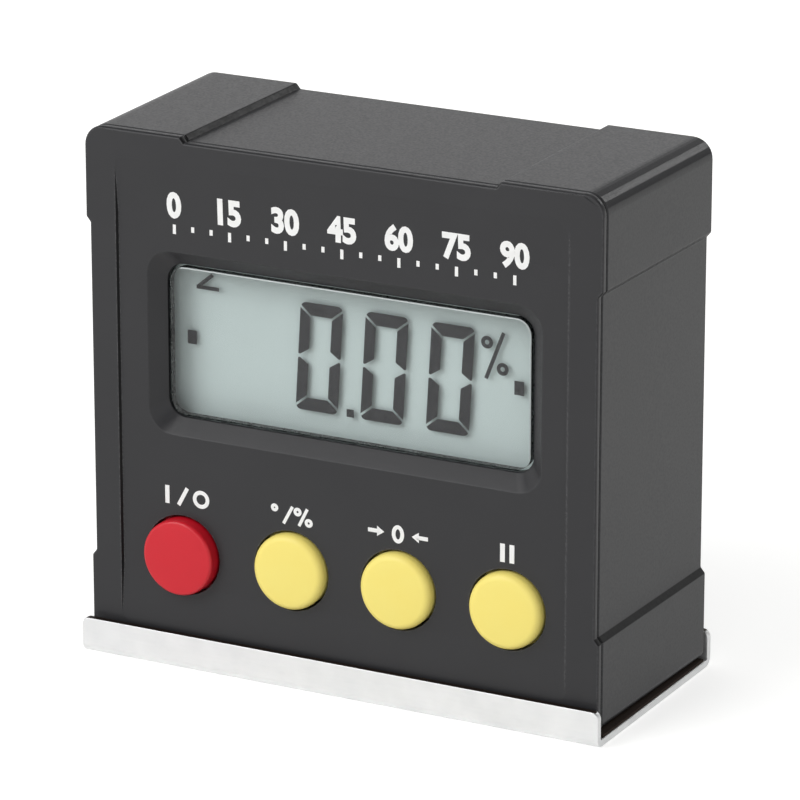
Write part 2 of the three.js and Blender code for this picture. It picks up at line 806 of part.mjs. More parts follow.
// Contact spring: one unbroken wire along the coil
function contactSpring() {
  const section = new THREE.Shape();
  section.absarc(0, 0, springWire, 0, 2 * Math.PI);
  const outline = new THREE.Shape(section.getSpacedPoints(wireSides).slice(0, -1));
  const geometry = new THREE.ExtrudeGeometry(outline, {
    steps: springTurns * wireStepsPerTurn,
    extrudePath: new SpringPath(),
  });
  return solid(geometry);
}

// Contact plate against an end wall of the bay; a leg leads to the board where it has one
function contact(side, fromRow, toRow, hasLeg) {
  const wallSide = (side * bayLength) / 2;
  const inner = side * plateInner;
  const [left, right] = side < 0 ? [wallSide, inner] : [inner, wallSide];
  const half = contactWidth / 2;
  const low = cavityMiddle + (fromRow * cellPitch) / 2 - half;
  const high = cavityMiddle + (toRow * cellPitch) / 2 + half;
  const front = cellAxis - contactDepth / 2;
  const plate = block([left, front, low], [right, front + contactDepth, high]);
  if (!hasLeg) return plate;
  const middle = cavityMiddle + (fromRow * cellPitch) / 2;
  const leg = block([left, boardBack, middle - legWidth / 2], [right, cellAxis, middle + legWidth / 2]);
  return joined(plate, leg);
}

// Battery cover: a flush lid with locating lugs below, a latch tongue above and grip ridges.
// It swings open about its lower outer edge.
function batteryCover() {
  const top = cavityMiddle + lidHeight / 2;
  const outer = lidSeat + lidThickness;
  const openingBottom = cavityMiddle - bayHeight / 2 + lidFit;
  const outline = panelOutline(lidWidth, lidHeight, lidCorner, 0, cavityMiddle);
  const plate = slab(outline, lidSeat, outer, 0, lidRound);
  const lugs = [-1, 1].map((side) => {
    const x = side * lugSpread;
    const from = [x - lugWidth / 2, lidSeat - lugReach, openingBottom];
    return block(from, [x + lugWidth / 2, lidSeat + lidThickness / 2, openingBottom + lugLength]);
  });
  const slits = [-1, 1].map((side) => {
    const x = (side * latchWidth) / 2;
    const from = [x - latchSlit / 2, lidSeat - cutOverrun, top - latchLength];
    return block(from, [x + latchSlit / 2, outer + cutOverrun, top + cutOverrun]);
  });
  const ridges = Array.from({ length: ridgeCount }, (_, i) => {
    const z = top - ridgePitch * (i + 1);
    const ridge = panelOutline(ridgeWidth, ridgeThickness, ridgeRound, 0, z);
    return slab(ridge, lidSeat + lidThickness / 2, outer + ridgeRise);
  });
  return joined(cut(joined(plate, lugs), slits), ridges);
}

// Base channel: sheet bent up in front and behind, its lips rounded off at their upper corners
function baseChannel() {
  const front = -lipGap - sheet;
  const back = bodyDepth + lipGap + sheet;
  const outerBend = bendRadius + sheet;
  const profile = new THREE.Shape();
  profile.moveTo(front, lipHeight);
  profile.absarc(front + outerBend, outerBend, outerBend, 2 * quarterTurn, 3 * quarterTurn);
  profile.absarc(back - outerBend, outerBend, outerBend, -quarterTurn, 0);
  profile.lineTo(back, lipHeight);
  profile.lineTo(back - sheet, lipHeight);
  profile.absarc(back - outerBend, outerBend, bendRadius, 0, -quarterTurn, true);
  profile.absarc(front + outerBend, outerBend, bendRadius, 3 * quarterTurn, 2 * quarterTurn, true);
  profile.lineTo(front + sheet, lipHeight);
  const length = bodyWidth + 2 * channelOverhang;
  const geometry = new THREE.ExtrudeGeometry(profile, {
    depth: length,
    curveSegments: arcSteps,
    bevelEnabled: false,
  });
  geometry.rotateX(quarterTurn);
  geometry.rotateZ(quarterTurn);
  geometry.translate(-length / 2, 0, 0);
  const silhouette = panelOutline(length, 2 * lipHeight, lipCorner);
  return solid(geometry).intersect(slab(silhouette, front - cutOverrun, back + cutOverrun));
}

// Everything below is measured from the front of the case, so it is moved forward by half the depth
const assembly = new THREE.Group();
assembly.position.y = -bodyDepth / 2;

const blackPlastic = 0x3e3e40;
const brightSteel = 0xd9dadb;
const springSteel = 0xb9b6ac;

// Places a mesh at an x, depth and height, turned about Y or Z where needed
function put(mesh, x = 0, depth = 0, z = 0, turn = 0) {
  mesh.position.set(x, depth, z);
  mesh.rotation.z = turn;
  assembly.add(mesh);
}

put(piece('front_cover', frontCover(), blackPlastic, 0.5));
put(piece('rear_housing', rearHousing(), blackPlastic, 0.55));
put(piece('display_lens', displayLens(), 0xf4f7f7, 0.05));
put(piece('lens_tape', lensTape(), 0x1c1c1d, 0.8));
put(piece('lcd_front_glass', cellLayer(frontGlassHeight, glassFront, glassMiddle), 0xd8e0dc, 0.1));
put(piece('lcd_rear_glass', cellLayer(rearGlassHeight, glassMiddle, glassBack), 0xb4c2be, 0.3));
put(piece('lcd_reflector', cellLayer(rearGlassHeight, glassBack, ledgePlane), 0xc4c8c4, 0.4, 0.3));
put(piece('lcd_frame', displayFrame(), 0xe6e6e2, 0.6));
put(piece('zebra_strip_upper', contactStrip(1), 0x8f8f92, 0.8));
put(piece('zebra_strip_lower', contactStrip(-1), 0x8f8f92, 0.8));
put(piece('main_board', mainBoard(), 0x1f5a34, 0.5));

const buttonStyles = [
  ['power', powerCap, 0xcf2f36],
  ['unit', keyCap, 0xf2de5c],
  ['zero', keyCap, 0xf2de5c],
  ['hold', keyCap, 0xf2de5c],
];
buttonStyles.forEach(([name, form, color], i) => {
  const [x, z] = buttonPlaces[i];
  put(piece(`${name}_button`, buttonCap(form), color, 0.35), x, 0, z);
  put(piece(`${name}_switch_body`, switchBody(), 0x2a2a2c, 0.5), x, 0, z);
  put(piece(`${name}_switch_plunger`, switchPlunger(), 0x151516, 0.4), x, 0, z);
});

// Back of the board: processor behind the display, the other parts in a row above the battery bay
const componentRow = cavityMiddle + bayHeight / 2 + bayWall + componentRowRise;
const processorProfile = [
  [0, boardBack],
  [processorRadius, boardBack],
  ...quarterRound(processorHeight, processorRadius - processorHeight, boardBack, 0).slice(1),
  [0, boardBack + processorHeight],
];
put(piece('processor', turned(processorProfile), 0x101011, 0.3), 0, 0, cavityMiddle);
const sensor = slab(panelOutline(sensorSide, sensorSide, packageCorner), boardBack, boardBack + sensorHeight);
put(piece('tilt_sensor', sensor, 0x77777a, 0.4, 0.4), -sensorAcross, 0, componentRow);
const crystalCan = bar(crystalRadius, -crystalLength / 2, crystalLength / 2);
const crystal = piece('timing_crystal', crystalCan, 0xc9cacb, 0.3, 0.9);
put(crystal, crystalAcross, boardBack + crystalRadius, componentRow, quarterTurn);
const capacitor = bar(capacitorRadius, boardBack, boardBack + capacitorHeight);
put(piece('filter_capacitor', capacitor, 0x23304a, 0.4), capacitorAcross, 0, componentRow);

casePlaces.forEach(([x, z], i) => {
  put(piece(`case_screw_${i + 1}`, screw(caseScrew), brightSteel, 0.35, 1), x, headSeat, z);
});
boardPlaces.forEach(([x, z], i) => {
  put(piece(`board_screw_${i + 1}`, screw(boardScrew), brightSteel, 0.35, 1), x, boardBack, z);
});

// The two cells lie side by side the opposite way round; each spring bears on a base
[-1, 1].forEach((row) => {
  const z = cavityMiddle + (row * cellPitch) / 2;
  const springEnd = row * plateInner;
  const name = row > 0 ? 'upper' : 'lower';
  put(piece(`battery_${name}`, cell(), 0x9c9ea2, 0.4, 0.3), springEnd - row * springLength, cellAxis, z,
    row * quarterTurn);
  put(piece(`battery_spring_${name}`, contactSpring(), springSteel, 0.3, 1), springEnd, cellAxis, z,
    row * quarterTurn);
});
put(piece('positive_contact', contact(-1, 1, 1, true), springSteel, 0.3, 1));
put(piece('negative_contact', contact(-1, -1, -1, true), springSteel, 0.3, 1));
put(piece('link_contact', contact(1, -1, 1, false), springSteel, 0.3, 1));

put(piece('battery_cover', batteryCover(), blackPlastic, 0.55));

put(piece('base_channel', baseChannel(), brightSteel, 0.3, 1));
const padReach = bodyWidth / 2 + channelOverhang - padEndInset;
const pad = block([-padReach, padSideInset, sheet], [padReach, bodyDepth - padSideInset, bodyBottom]);
put(piece('adhesive_pad', pad, 0x2c2522, 0.9));
[-1, 1].forEach((side) => {
  const from = [(side * magnetPitch - magnetLength) / 2, (bodyDepth - magnetDepth) / 2, bodyBottom];
  const to = [from[0] + magnetLength, from[1] + magnetDepth, bodyBottom + magnetHeight];
  put(piece(side < 0 ? 'magnet_left' : 'magnet_right', block(from, to), 0x4b4644, 0.6, 0.2));
});

const inclinometer = new THREE.Group();
inclinometer.add(assembly);

export default inclinometer;
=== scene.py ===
import logging
import math
from collections.abc import Callable, Iterable, Sequence
from dataclasses import dataclass
from enum import Enum

import bmesh
import bpy
from mathutils import Matrix, Vector
from mathutils.bvhtree import BVHTree


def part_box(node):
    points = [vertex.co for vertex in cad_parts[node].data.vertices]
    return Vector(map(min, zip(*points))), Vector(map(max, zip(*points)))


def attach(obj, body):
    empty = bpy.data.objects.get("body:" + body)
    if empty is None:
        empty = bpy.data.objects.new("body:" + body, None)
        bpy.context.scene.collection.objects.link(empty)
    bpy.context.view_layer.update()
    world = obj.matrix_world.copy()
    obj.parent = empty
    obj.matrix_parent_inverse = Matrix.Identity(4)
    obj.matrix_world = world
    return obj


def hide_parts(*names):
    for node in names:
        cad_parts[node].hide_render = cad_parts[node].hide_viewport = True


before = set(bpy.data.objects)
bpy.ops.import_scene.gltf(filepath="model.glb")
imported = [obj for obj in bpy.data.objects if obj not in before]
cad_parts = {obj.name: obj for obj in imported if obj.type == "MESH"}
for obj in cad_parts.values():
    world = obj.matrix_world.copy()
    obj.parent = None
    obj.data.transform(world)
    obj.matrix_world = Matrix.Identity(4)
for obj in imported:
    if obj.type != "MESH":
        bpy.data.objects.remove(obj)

logging.basicConfig(level=logging.INFO, format="%(message)s")
LOG = logging.getLogger("inclinometer")

MM = 0.001
# Metres within which two corners are one
MERGE = 1e-6
# Degrees up to which neighbouring faces are one flat face
FLAT = 0.5
# Degrees between which a crease that isn't rounded is shaded sharp
SHALLOW_CREASE = (0.6, 9.0)
# Degrees from which an edge is hard and is rounded off, and the faces across the rounding
HARD_EDGE = 35.0
ROUND_FACES = 2
# Degrees up to which edges are shaded smooth, on turned pieces and on the others
TURNED_SMOOTH = 35.0
SMOOTH = 40.0
# Numbers of a Mix node's colour sockets
COLOUR_A, COLOUR_B, COLOUR_OUT = 6, 7, 2
# Radians that a wave texture goes through along one unit
WAVE_TURN = 20
KEYS = ("power", "unit", "zero", "hold")
Point = tuple[float, float]
Ring = tuple[float, float, float, float]
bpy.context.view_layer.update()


class Body(Enum):
    """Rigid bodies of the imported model."""

    GAUGE = "gauge"
    DOOR = "battery_door"
    POWER = "power_key"
    UNIT = "unit_key"
    ZERO = "zero_key"
    HOLD = "hold_key"


class Slot(Enum):
    """Names of material slots."""

    CASE = "case_plastic"
    LENS = "lens_plastic"
    GLASS = "display_glass"
    CHANNEL = "channel_steel"
    SCREW = "screw_steel"
    SPRING = "spring_steel"
    CELL = "cell_can"
    RED_KEY = "red_button"
    YELLOW_KEY = "yellow_button"


class Row(Enum):
    """The two cells of the battery bay, one above the other."""

    LOWER = "lower"
    UPPER = "upper"


def srgb(code: str) -> tuple[float, float, float, float]:
    """Turn an sRGB hex code into the linear colour that Blender works in.

    Args:
        code: Colour such as "#3C3C3E".

    Returns:
        Linear red, green, blue and an alpha of one.
    """
    parts = [int(code[i:i + 2], 16) / 255 for i in (1, 3, 5)]
    linear = [c / 12.92 if c <= 0.04045 else ((c + 0.055) / 1.055) ** 2.4 for c in parts]
    return (*linear, 1.0)


def add_node(tree: bpy.types.NodeTree, kind: str, inputs: dict | None = None,
             **settings: object) -> bpy.types.Node:
    """Add a node with its settings, input values and links.

    Args:
        tree: Shader or geometry tree that the node goes into.
        kind: Blender's name for the kind of node.
        inputs: Input name or number, with the value or the output socket that feeds it.
        **settings: Properties of the node, such as its operation.

    Returns:
        The new node.
    """
    made = tree.nodes.new(kind)
    for name, value in settings.items():
        setattr(made, name, value)
    for key, value in (inputs or {}).items():
        if isinstance(value, bpy.types.NodeSocket):
            tree.links.new(value, made.inputs[key])
        else:
            made.inputs[key].default_value = value
    return made


def start_material(name: str) -> bpy.types.Material:
    """Make an empty node material.

    Args:
        name: Name of the material.

    Returns:
        Material whose tree has no nodes yet.
    """
    material = bpy.data.materials.new(name)
    material.use_nodes = True
    material.node_tree.nodes.clear()
    return material


def grain_scale(size: float) -> float:
    """Scale of a texture on metre coordinates whose grains are size millimetres across."""
    return 1 / (size * MM)


def band_scale(pitch: float) -> float:
    """Scale of a wave texture on metre coordinates whose bands repeat every pitch millimetres."""
    return 2 * math.pi / WAVE_TURN * grain_scale(pitch)


@dataclass(frozen=True)
class Finish:
    """Opaque finish: colour that drifts in soft patches, a surface grain, and paler edges where it has them:
    real wear on some finishes, a painted highlight on others.

    Lengths are millimetres. The stretch makes a direction finer above one and longer below it. The paler edge
    colour starts at the first cosine of rub_turn and is full at the second, and the grain thins it
    down to rub_least between the values of rub_break.
    """

    name: str
    colour: str
    drift: str
    drift_size: float = 7.0
    drift_detail: float = 3.0
    roughness: float = 0.5
    spread: float = 0.06
    metallic: float = 0.0
    specular: float = 0.5
    grain_size: float = 0.3
    grain_detail: float = 2.0
    grain_depth: float = 0.003
    grain_span: Point = (0.3, 0.7)
    stretch: tuple[float, float, float] = (1.0, 1.0, 1.0)
    rubbed: str | None = None
    rub_width: float = 0.35
    rub_turn: Point = (0.985, 0.80)
    rub_break: Point = (0.42, 0.62)
    rub_least: float = 0.15

    def build(self) -> bpy.types.Material:
        """Make the material.

        Returns:
            Node material with a Principled shader.
        """
        material = start_material(self.name)
        tree = material.node_tree
        place = add_node(tree, "ShaderNodeTexCoord").outputs["Object"]
        stretched = add_node(tree, "ShaderNodeMapping", {"Vector": place, "Scale": self.stretch}).outputs[0]
        patches = add_node(tree, "ShaderNodeTexNoise", {
            "Vector": place, "Scale": grain_scale(self.drift_size), "Detail": self.drift_detail})
        grain = add_node(tree, "ShaderNodeTexNoise", {
            "Vector": stretched, "Scale": grain_scale(self.grain_size), "Detail": self.grain_detail})
        mixed = add_node(tree, "ShaderNodeMix", {
            "Factor": patches.outputs[0], COLOUR_A: srgb(self.colour), COLOUR_B: srgb(self.drift)},
            data_type="RGBA")
        colour = mixed.outputs[COLOUR_OUT]
        # Paler edges: real wear on the screws, a painted highlight on the case
        if self.rubbed:
            colour = self.rub_edges(tree, colour, grain.outputs[0])
        rough = add_node(tree, "ShaderNodeMapRange", {
            "Value": grain.outputs[0], "From Min": self.grain_span[0], "From Max": self.grain_span[1],
            "To Min": self.roughness - self.spread, "To Max": self.roughness + self.spread})
        bump = add_node(tree, "ShaderNodeBump", {
            "Strength": 1.0, "Distance": self.grain_depth * MM, "Height": grain.outputs[0]})
        shader = add_node(tree, "ShaderNodeBsdfPrincipled", {
            "Base Color": colour, "Roughness": rough.outputs[0], "Metallic": self.metallic,
            "Specular IOR Level": self.specular, "Normal": bump.outputs[0]})
        add_node(tree, "ShaderNodeOutputMaterial", {"Surface": shader.outputs[0]})
        return material

    def rub_edges(self, tree: bpy.types.NodeTree, colour: bpy.types.NodeSocket,
                  grain: bpy.types.NodeSocket) -> bpy.types.NodeSocket:
        """Mix the paler edge colour in where the surface turns over an edge: real wear on some finishes, a
        painted highlight on others.

        Args:
            tree: Tree of the material.
            colour: Colour away from the edges.
            grain: Grain that breaks the paler line up.

        Returns:
            The mixed colour.
        """
        soft = add_node(tree, "ShaderNodeBevel", {"Radius": self.rub_width * MM}, samples=4)
        true = add_node(tree, "ShaderNodeNewGeometry")
        turn = add_node(tree, "ShaderNodeVectorMath", {0: soft.outputs[0], 1: true.outputs["Normal"]},
                        operation="DOT_PRODUCT")
        edge = add_node(tree, "ShaderNodeMapRange", {
            "Value": turn.outputs["Value"], "From Min": self.rub_turn[0], "From Max": self.rub_turn[1]})
        broken = add_node(tree, "ShaderNodeMapRange", {
            "Value": grain, "From Min": self.rub_break[0], "From Max": self.rub_break[1],
            "To Min": self.rub_least})
        share = add_node(tree, "ShaderNodeMath", {0: edge.outputs[0], 1: broken.outputs[0]},
                         operation="MULTIPLY")
        mixed = add_node(tree, "ShaderNodeMix", {
            "Factor": share.outputs[0], COLOUR_A: colour, COLOUR_B: srgb(self.rubbed)}, data_type="RGBA")
        return mixed.outputs[COLOUR_OUT]


@dataclass(frozen=True)
class ClearSheet:
    """Clear sheet that is looked straight through, with a tint, faint smears and gloss on its outer faces."""

    name: str
    tint: str
    ior: float = 1.49
    roughness: float = 0.03
    smear_size: float = 9.0
    smear_share: float = 2.5

    def build(self) -> bpy.types.Material:
        """Make the material.

        Returns:
            Node material that lets light and lamps straight through.
        """
        material = start_material(self.name)
        tree = material.node_tree
        place = add_node(tree, "ShaderNodeTexCoord").outputs["Object"]
        smears = add_node(tree, "ShaderNodeTexNoise", {
            "Vector": place, "Scale": grain_scale(self.smear_size)})
        rough = add_node(tree, "ShaderNodeMapRange", {
            "Value": smears.outputs[0], "To Min": self.roughness,
            "To Max": self.roughness * self.smear_share})
        clear = add_node(tree, "ShaderNodeBsdfTransparent", {"Color": srgb(self.tint)})
        gloss = add_node(tree, "ShaderNodeBsdfGlossy", {"Roughness": rough.outputs[0]})
        fresnel = add_node(tree, "ShaderNodeFresnel", {"IOR": self.ior})
        inside = add_node(tree, "ShaderNodeNewGeometry").outputs["Backfacing"]
        outer = add_node(tree, "ShaderNodeMath", {0: 1.0, 1: inside}, operation="SUBTRACT")
        share = add_node(tree, "ShaderNodeMath", {0: fresnel.outputs[0], 1: outer.outputs[0]},
                         operation="MULTIPLY")
        shader = add_node(tree, "ShaderNodeMixShader", {
            0: share.outputs[0], 1: clear.outputs[0], 2: gloss.outputs[0]})
        add_node(tree, "ShaderNodeOutputMaterial", {"Surface": shader.outputs[0]})
        return material


@dataclass(frozen=True)
class LayeredFinish:
    """Finish of parallel layers or tracks of two colours across X, such as a contact strip or a board.

    Pitch, speckle and ridge are millimetres. The second colour takes up the share of the pitch, blur is the
    softness of its edges and ridge its height.
    """

    name: str
    colour: str
    layer: str
    pitch: float
    share: float = 0.5
    blur: float = 0.1
    ridge: float = 0.02
    wander: float = 0.0
    wander_detail: float = 1.0
    wander_scale: float = 0.6
    roughness: float = 0.6
    spread: float = 0.1
    speckle: float = 0.4
    speckle_detail: float = 2.0
    specular: float = 0.4

    def build(self) -> bpy.types.Material:
        """Make the material.

        Returns:
            Node material with bands across one axis.
        """
        material = start_material(self.name)
        tree = material.node_tree
        place = add_node(tree, "ShaderNodeTexCoord").outputs["Object"]
        bands = add_node(tree, "ShaderNodeTexWave", {
            "Vector": place, "Scale": band_scale(self.pitch), "Distortion": self.wander,
            "Detail": self.wander_detail, "Detail Scale": self.wander_scale}, bands_direction="X")
        edge = add_node(tree, "ShaderNodeMapRange", {
            "Value": bands.outputs["Fac"], "From Min": 1 - self.share,
            "From Max": 1 + self.blur - self.share})
        speckle = add_node(tree, "ShaderNodeTexNoise", {
            "Vector": place, "Scale": grain_scale(self.speckle), "Detail": self.speckle_detail})
        colour = add_node(tree, "ShaderNodeMix", {
            "Factor": edge.outputs[0], COLOUR_A: srgb(self.colour), COLOUR_B: srgb(self.layer)},
            data_type="RGBA")
        rough = add_node(tree, "ShaderNodeMapRange", {
            "Value": speckle.outputs[0], "To Min": self.roughness - self.spread,
            "To Max": self.roughness + self.spread})
        bump = add_node(tree, "ShaderNodeBump", {
            "Strength": 1.0, "Distance": self.ridge * MM, "Height": edge.outputs[0]})
        shader = add_node(tree, "ShaderNodeBsdfPrincipled", {
            "Base Color": colour.outputs[COLOUR_OUT], "Roughness": rough.outputs[0],
            "Specular IOR Level": self.specular, "Normal": bump.outputs[0]})
        add_node(tree, "ShaderNodeOutputMaterial", {"Surface": shader.outputs[0]})
        return material


# A grain finer than about 0.1 mm doesn't show in the render, so these finishes draw such a grain coarser.
# Spark-eroded moulded ABS: a fine dull grain that glitters towards the light, and edges painted paler as a
# painted highlight.
CASE_ABS = Finish("spark-eroded black ABS", "#2F2F31", "#343436", drift_size=9.0, roughness=0.35, spread=0.06,
                  specular=0.29, grain_size=0.26, grain_depth=0.0032, rubbed="#6A6A6C")
# Steep walls of the same moulding: the grain isn't carried down them, so they're smooth; their colour is
# painted near black as painted shade on the pad ramps and the sunk panel's sides.
SHADED_WALL_ABS = Finish("moulded black ABS, bare mould wall", "#161617", "#1D1D1E", drift_size=3.0, roughness=0.45,
                  grain_size=0.5, grain_depth=0.002, specular=0.2)
# Moulded key plastic, satin from an eroded mould: soft highlight, faint mottling.
RED_ABS = Finish("satin red ABS", "#CE1526", "#D61A2C", drift_size=3.0, roughness=0.36, specular=0.45,
                 grain_size=0.3, grain_depth=0.003)
# The same satin plastic in pale yellow, with a shade more mottling to be seen on the light colour.
YELLOW_ABS = Finish("satin yellow ABS", "#FFEA7C", "#FFEE86", drift_size=3.0, roughness=0.38, specular=0.4,
                    grain_size=0.3, grain_depth=0.003)
# Bright nickel on cold-rolled sheet: near white, with fine rolling lines along its length.
CHANNEL_STEEL = Finish("nickel-plated rolled steel", "#F0F0F0", "#DADBDC", drift_size=3.5, roughness=0.5,
                       spread=0.08, metallic=1.0, grain_size=0.5, grain_depth=0.0015,
                       stretch=(0.15, 1.0, 1.0))
# Sheared edge of the sheet: torn steel without plating, dull; painted dark brownish as a painted reflection
# of the dark case above it.
SHEARED_STEEL_WITH_REFLECTION = Finish("sheared bare steel", "#3E3430", "#4A403A", drift_size=1.2, roughness=0.6,
                       metallic=1.0, grain_size=0.15, grain_depth=0.004, stretch=(0.4, 1.0, 1.0))
# Zinc on formed steel: cool and bright, worn to a lighter line round the head and the cross.
SCREW_STEEL = Finish("zinc-plated screw steel", "#D2D2CE", "#C2C2C0", drift_size=2.0, roughness=0.3,
                     metallic=1.0, grain_size=0.2, grain_depth=0.002, rubbed="#ECECE8", rub_width=0.15)
# Nickel on drawn wire and stamped sheet: a warm grey sheen with fine drawing lines.
SPRING_STEEL = Finish("nickel-plated spring steel", "#C6C2B6", "#B4B0A4", drift_size=3.0, roughness=0.26,
                      metallic=1.0, grain_size=0.2, grain_depth=0.001, stretch=(0.2, 1.0, 1.0))
# Clear cast acrylic: glassy and faintly smeared; the light that its cut edge carries is a painted highlight
# in the edge finish below.
LENS_ACRYLIC = ClearSheet("clear cast acrylic", "#FEFEFE", ior=1.49, roughness=0.02)
# Rounded front edge of the acrylic where the light reaches it, on its upper and right sides: a thin pale
# line, a painted highlight.
PAINTED_LENS_HIGHLIGHT = Finish("polished acrylic edge", "#CDD4D4", "#C2CACA", roughness=0.25, specular=0.5,
                   grain_size=0.4, grain_depth=0.002)
# Sides of the lens: total reflection inside the acrylic shows the black case there, so they are painted near
# black as a painted reflection.
LENS_SIDE_PAINTED_DARK = Finish("acrylic side against the black case", "#141515", "#1B1C1C", drift_size=3.0, roughness=0.3,
                   specular=0.4, grain_size=0.4, grain_depth=0.002)
# Polished glass right behind the lens: nearly unseen, with a faint gloss of its own.
CELL_GLASS = ClearSheet("polished display glass", "#FDFEFE", ior=1.2, roughness=0.04)
# Diffusing polariser film: pale blue-grey and matt, slightly cloudy.
REFLECTOR_FILM = Finish("blue-grey reflective polariser", "#DAE7E5", "#DDEAE9", drift_size=12.0,
                        roughness=0.6, specular=0.2, grain_size=0.15, grain_depth=0.001)
# Dark liquid crystal figures, a shade uneven where the crystal is thinner.
CRYSTAL_INK = Finish("darkened liquid crystal", "#232427", "#2B2C2F", drift_size=1.5, roughness=0.5,
                     specular=0.2, grain_size=0.2, grain_depth=0.0)
# Pad-printed epoxy ink: off-white, slightly raised, thin in places.
PRINT_INK = Finish("pad-printed white ink", "#FFFFFF", "#F1F1EF", drift_size=0.8, roughness=0.55,
                   specular=0.35, grain_size=0.12, grain_depth=0.003)
# Green solder resist over copper: tracks stand a little proud and show paler.
BOARD_RESIST = LayeredFinish("green solder resist on copper tracks", "#14532E", "#1E6B3C", pitch=1.6,
                             share=0.45, wander=6.0, roughness=0.35, specular=0.5)
# Solder that has run and set: smooth and silvery, with a few duller patches.
SOLDER = Finish("tin solder", "#CFCFCB", "#BEBEBB", drift_size=0.8, roughness=0.28, metallic=1.0,
                grain_size=0.3, grain_depth=0.004)
# Epoxy poured over the chip: deep black and glossy, slightly wavy from setting.
CHIP_EPOXY = Finish("black potting epoxy", "#0F0F10", "#171718", drift_size=2.0, roughness=0.22,
                    specular=0.55, grain_size=0.8, grain_depth=0.01)
# Drawn nickel can, brushed one way: a soft streaked grey shine.
SENSOR_LID = Finish("brushed nickel lid", "#9A9A9C", "#8C8C8F", drift_size=1.5, roughness=0.36, metallic=1.0,
                    grain_size=0.15, grain_depth=0.002, stretch=(0.1, 1.0, 1.0))
# Nylon with short glass fibres, moulded: matt black with a rough, speckled skin.
SWITCH_NYLON = Finish("glass-filled black nylon", "#232325", "#2C2C2E", drift_size=1.0, roughness=0.5,
                      grain_size=0.15, grain_depth=0.006)
# Plain moulded nylon: darker and smoother than the body of the switch round it.
PLUNGER_NYLON = Finish("moulded black nylon plunger", "#151517", "#1C1C1E", drift_size=1.0, roughness=0.4,
                       grain_size=0.2, grain_depth=0.004)
# Heat-shrunk printed film over the capacitor's can: dark blue with a smooth gloss.
SLEEVE_FILM = Finish("capacitor sleeve film", "#22304C", "#283858", drift_size=1.2, roughness=0.32,
                     specular=0.5, grain_size=0.3, grain_depth=0.002)
# Moulded ABS in its light colour: clean off-white, dull and even.
FRAME_ABS = Finish("moulded white ABS", "#E2E2DE", "#DADAD6", drift_size=4.0, roughness=0.5, grain_size=0.3,
                   grain_depth=0.004)
# Alternating carbon and clear silicone layers: dark and pale stripes, drawn coarser than the real 0.1 mm.
CONTACT_RUBBER = LayeredFinish("layered contact silicone", "#C9CACC", "#2A2A2C", pitch=0.4, roughness=0.7)
# Die-cut acrylic foam tape: black and open-celled, without any gloss.
FOAM = Finish("black acrylic foam", "#19191A", "#232324", drift_size=0.6, roughness=0.9, specular=0.15,
              grain_size=0.25, grain_depth=0.05)
# Double-sided foam, browned by its glue: dull, with open cells along its cut sides.
PAD_FOAM = Finish("brown double-sided foam", "#2E2622", "#3A302A", drift_size=0.8, roughness=0.9,
                  specular=0.15, grain_size=0.25, grain_depth=0.05)
# Pressed and sintered ferrite: dark brownish grey, a faint metal sheen, pitted by the pressing.
FERRITE = Finish("sintered ferrite", "#423E3C", "#4C4744", drift_size=1.6, roughness=0.55, metallic=0.3,
                 grain_size=0.2, grain_depth=0.012)
# Shrunk and printed plastic film round the cell: dark blue, glossy, with slow waves.
CELL_SLEEVE = Finish("printed cell sleeve film", "#2B3B57", "#31425F", drift_size=6.0, roughness=0.28,
                     specular=0.5, grain_size=0.6, grain_depth=0.002)
# Drawn can of the cell, nickel-plated: bare and bright where the sleeve ends.
CELL_STEEL = Finish("nickel-plated cell can", "#C9CACB", "#B9BABC", drift_size=3.0, roughness=0.25,
                    metallic=1.0, grain_size=0.3, grain_depth=0.001)


def mesh_from(work: bmesh.types.BMesh, name: str, smooth_angle: float | None = SMOOTH) -> bpy.types.Mesh:
    """Close a bmesh off as a named mesh with outward faces.

    Args:
        work: Bmesh to read; it is freed.
        name: Name of the mesh.
        smooth_angle: Degrees up to which edges are shaded smooth, or None for flat faces.

    Returns:
        The mesh.
    """
    bmesh.ops.remove_doubles(work, verts=work.verts, dist=MERGE)
    bmesh.ops.recalc_face_normals(work, faces=work.faces)
    mesh = bpy.data.meshes.new(name)
    work.to_mesh(mesh)
    work.free()
    if smooth_angle is not None:
        mesh.shade_smooth()
        mesh.set_sharp_from_angle(angle=math.radians(smooth_angle))
    return mesh


def add_piece(name: str, mesh: bpy.types.Mesh, body: Body,
              finishes: Sequence[bpy.types.Material] = (), replaced: Sequence[str] = ()) -> bpy.types.Object:
    """Put a finished mesh in the scene as a piece that rides on a body.

    Args:
        name: Name of the piece.
        mesh: Its mesh, already in place.
        body: Body that it rides on.
        finishes: Materials, in the order of the mesh's material numbers; none if the mesh has them.
        replaced: CAD nodes that it stands for.

    Returns:
        The piece's object.
    """
    mesh.name = name
    for finish in finishes:
        mesh.materials.append(finish)
    piece = bpy.data.objects.new(name, mesh)
    bpy.context.scene.collection.objects.link(piece)
    if replaced:
        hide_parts(*replaced)
    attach(piece, body.value)
    LOG.info("%s rides on %s", name, body.value)
    return piece


def dress(finish: bpy.types.Material, *nodes: str) -> None:
    """Give CAD nodes that stay as they are a finish.

    Args:
        finish: Their finish.
        *nodes: Names of the nodes.
    """
    for name in nodes:
        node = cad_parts[name]
        if not node.material_slots:
            node.data.materials.append(finish)
        for place in node.material_slots:
            place.material = finish
        LOG.info("%s carries over in %s", name, finish.name)


def merged_copy(node: str, reach: float = MERGE) -> bmesh.types.BMesh:
    """Copy a CAD node's mesh, with its doubles merged and its flat faces made whole.

    Args:
        node: Name of the CAD node.
        reach: Distance in metres up to which corners are merged.

    Returns:
        A new bmesh.
    """
    work = bmesh.new()
    work.from_mesh(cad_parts[node].data)
    for distance in (MERGE, reach):
        bmesh.ops.remove_doubles(work, verts=work.verts, dist=distance)
        bmesh.ops.dissolve_limit(work, angle_limit=math.radians(FLAT), verts=work.verts, edges=work.edges)
    return work


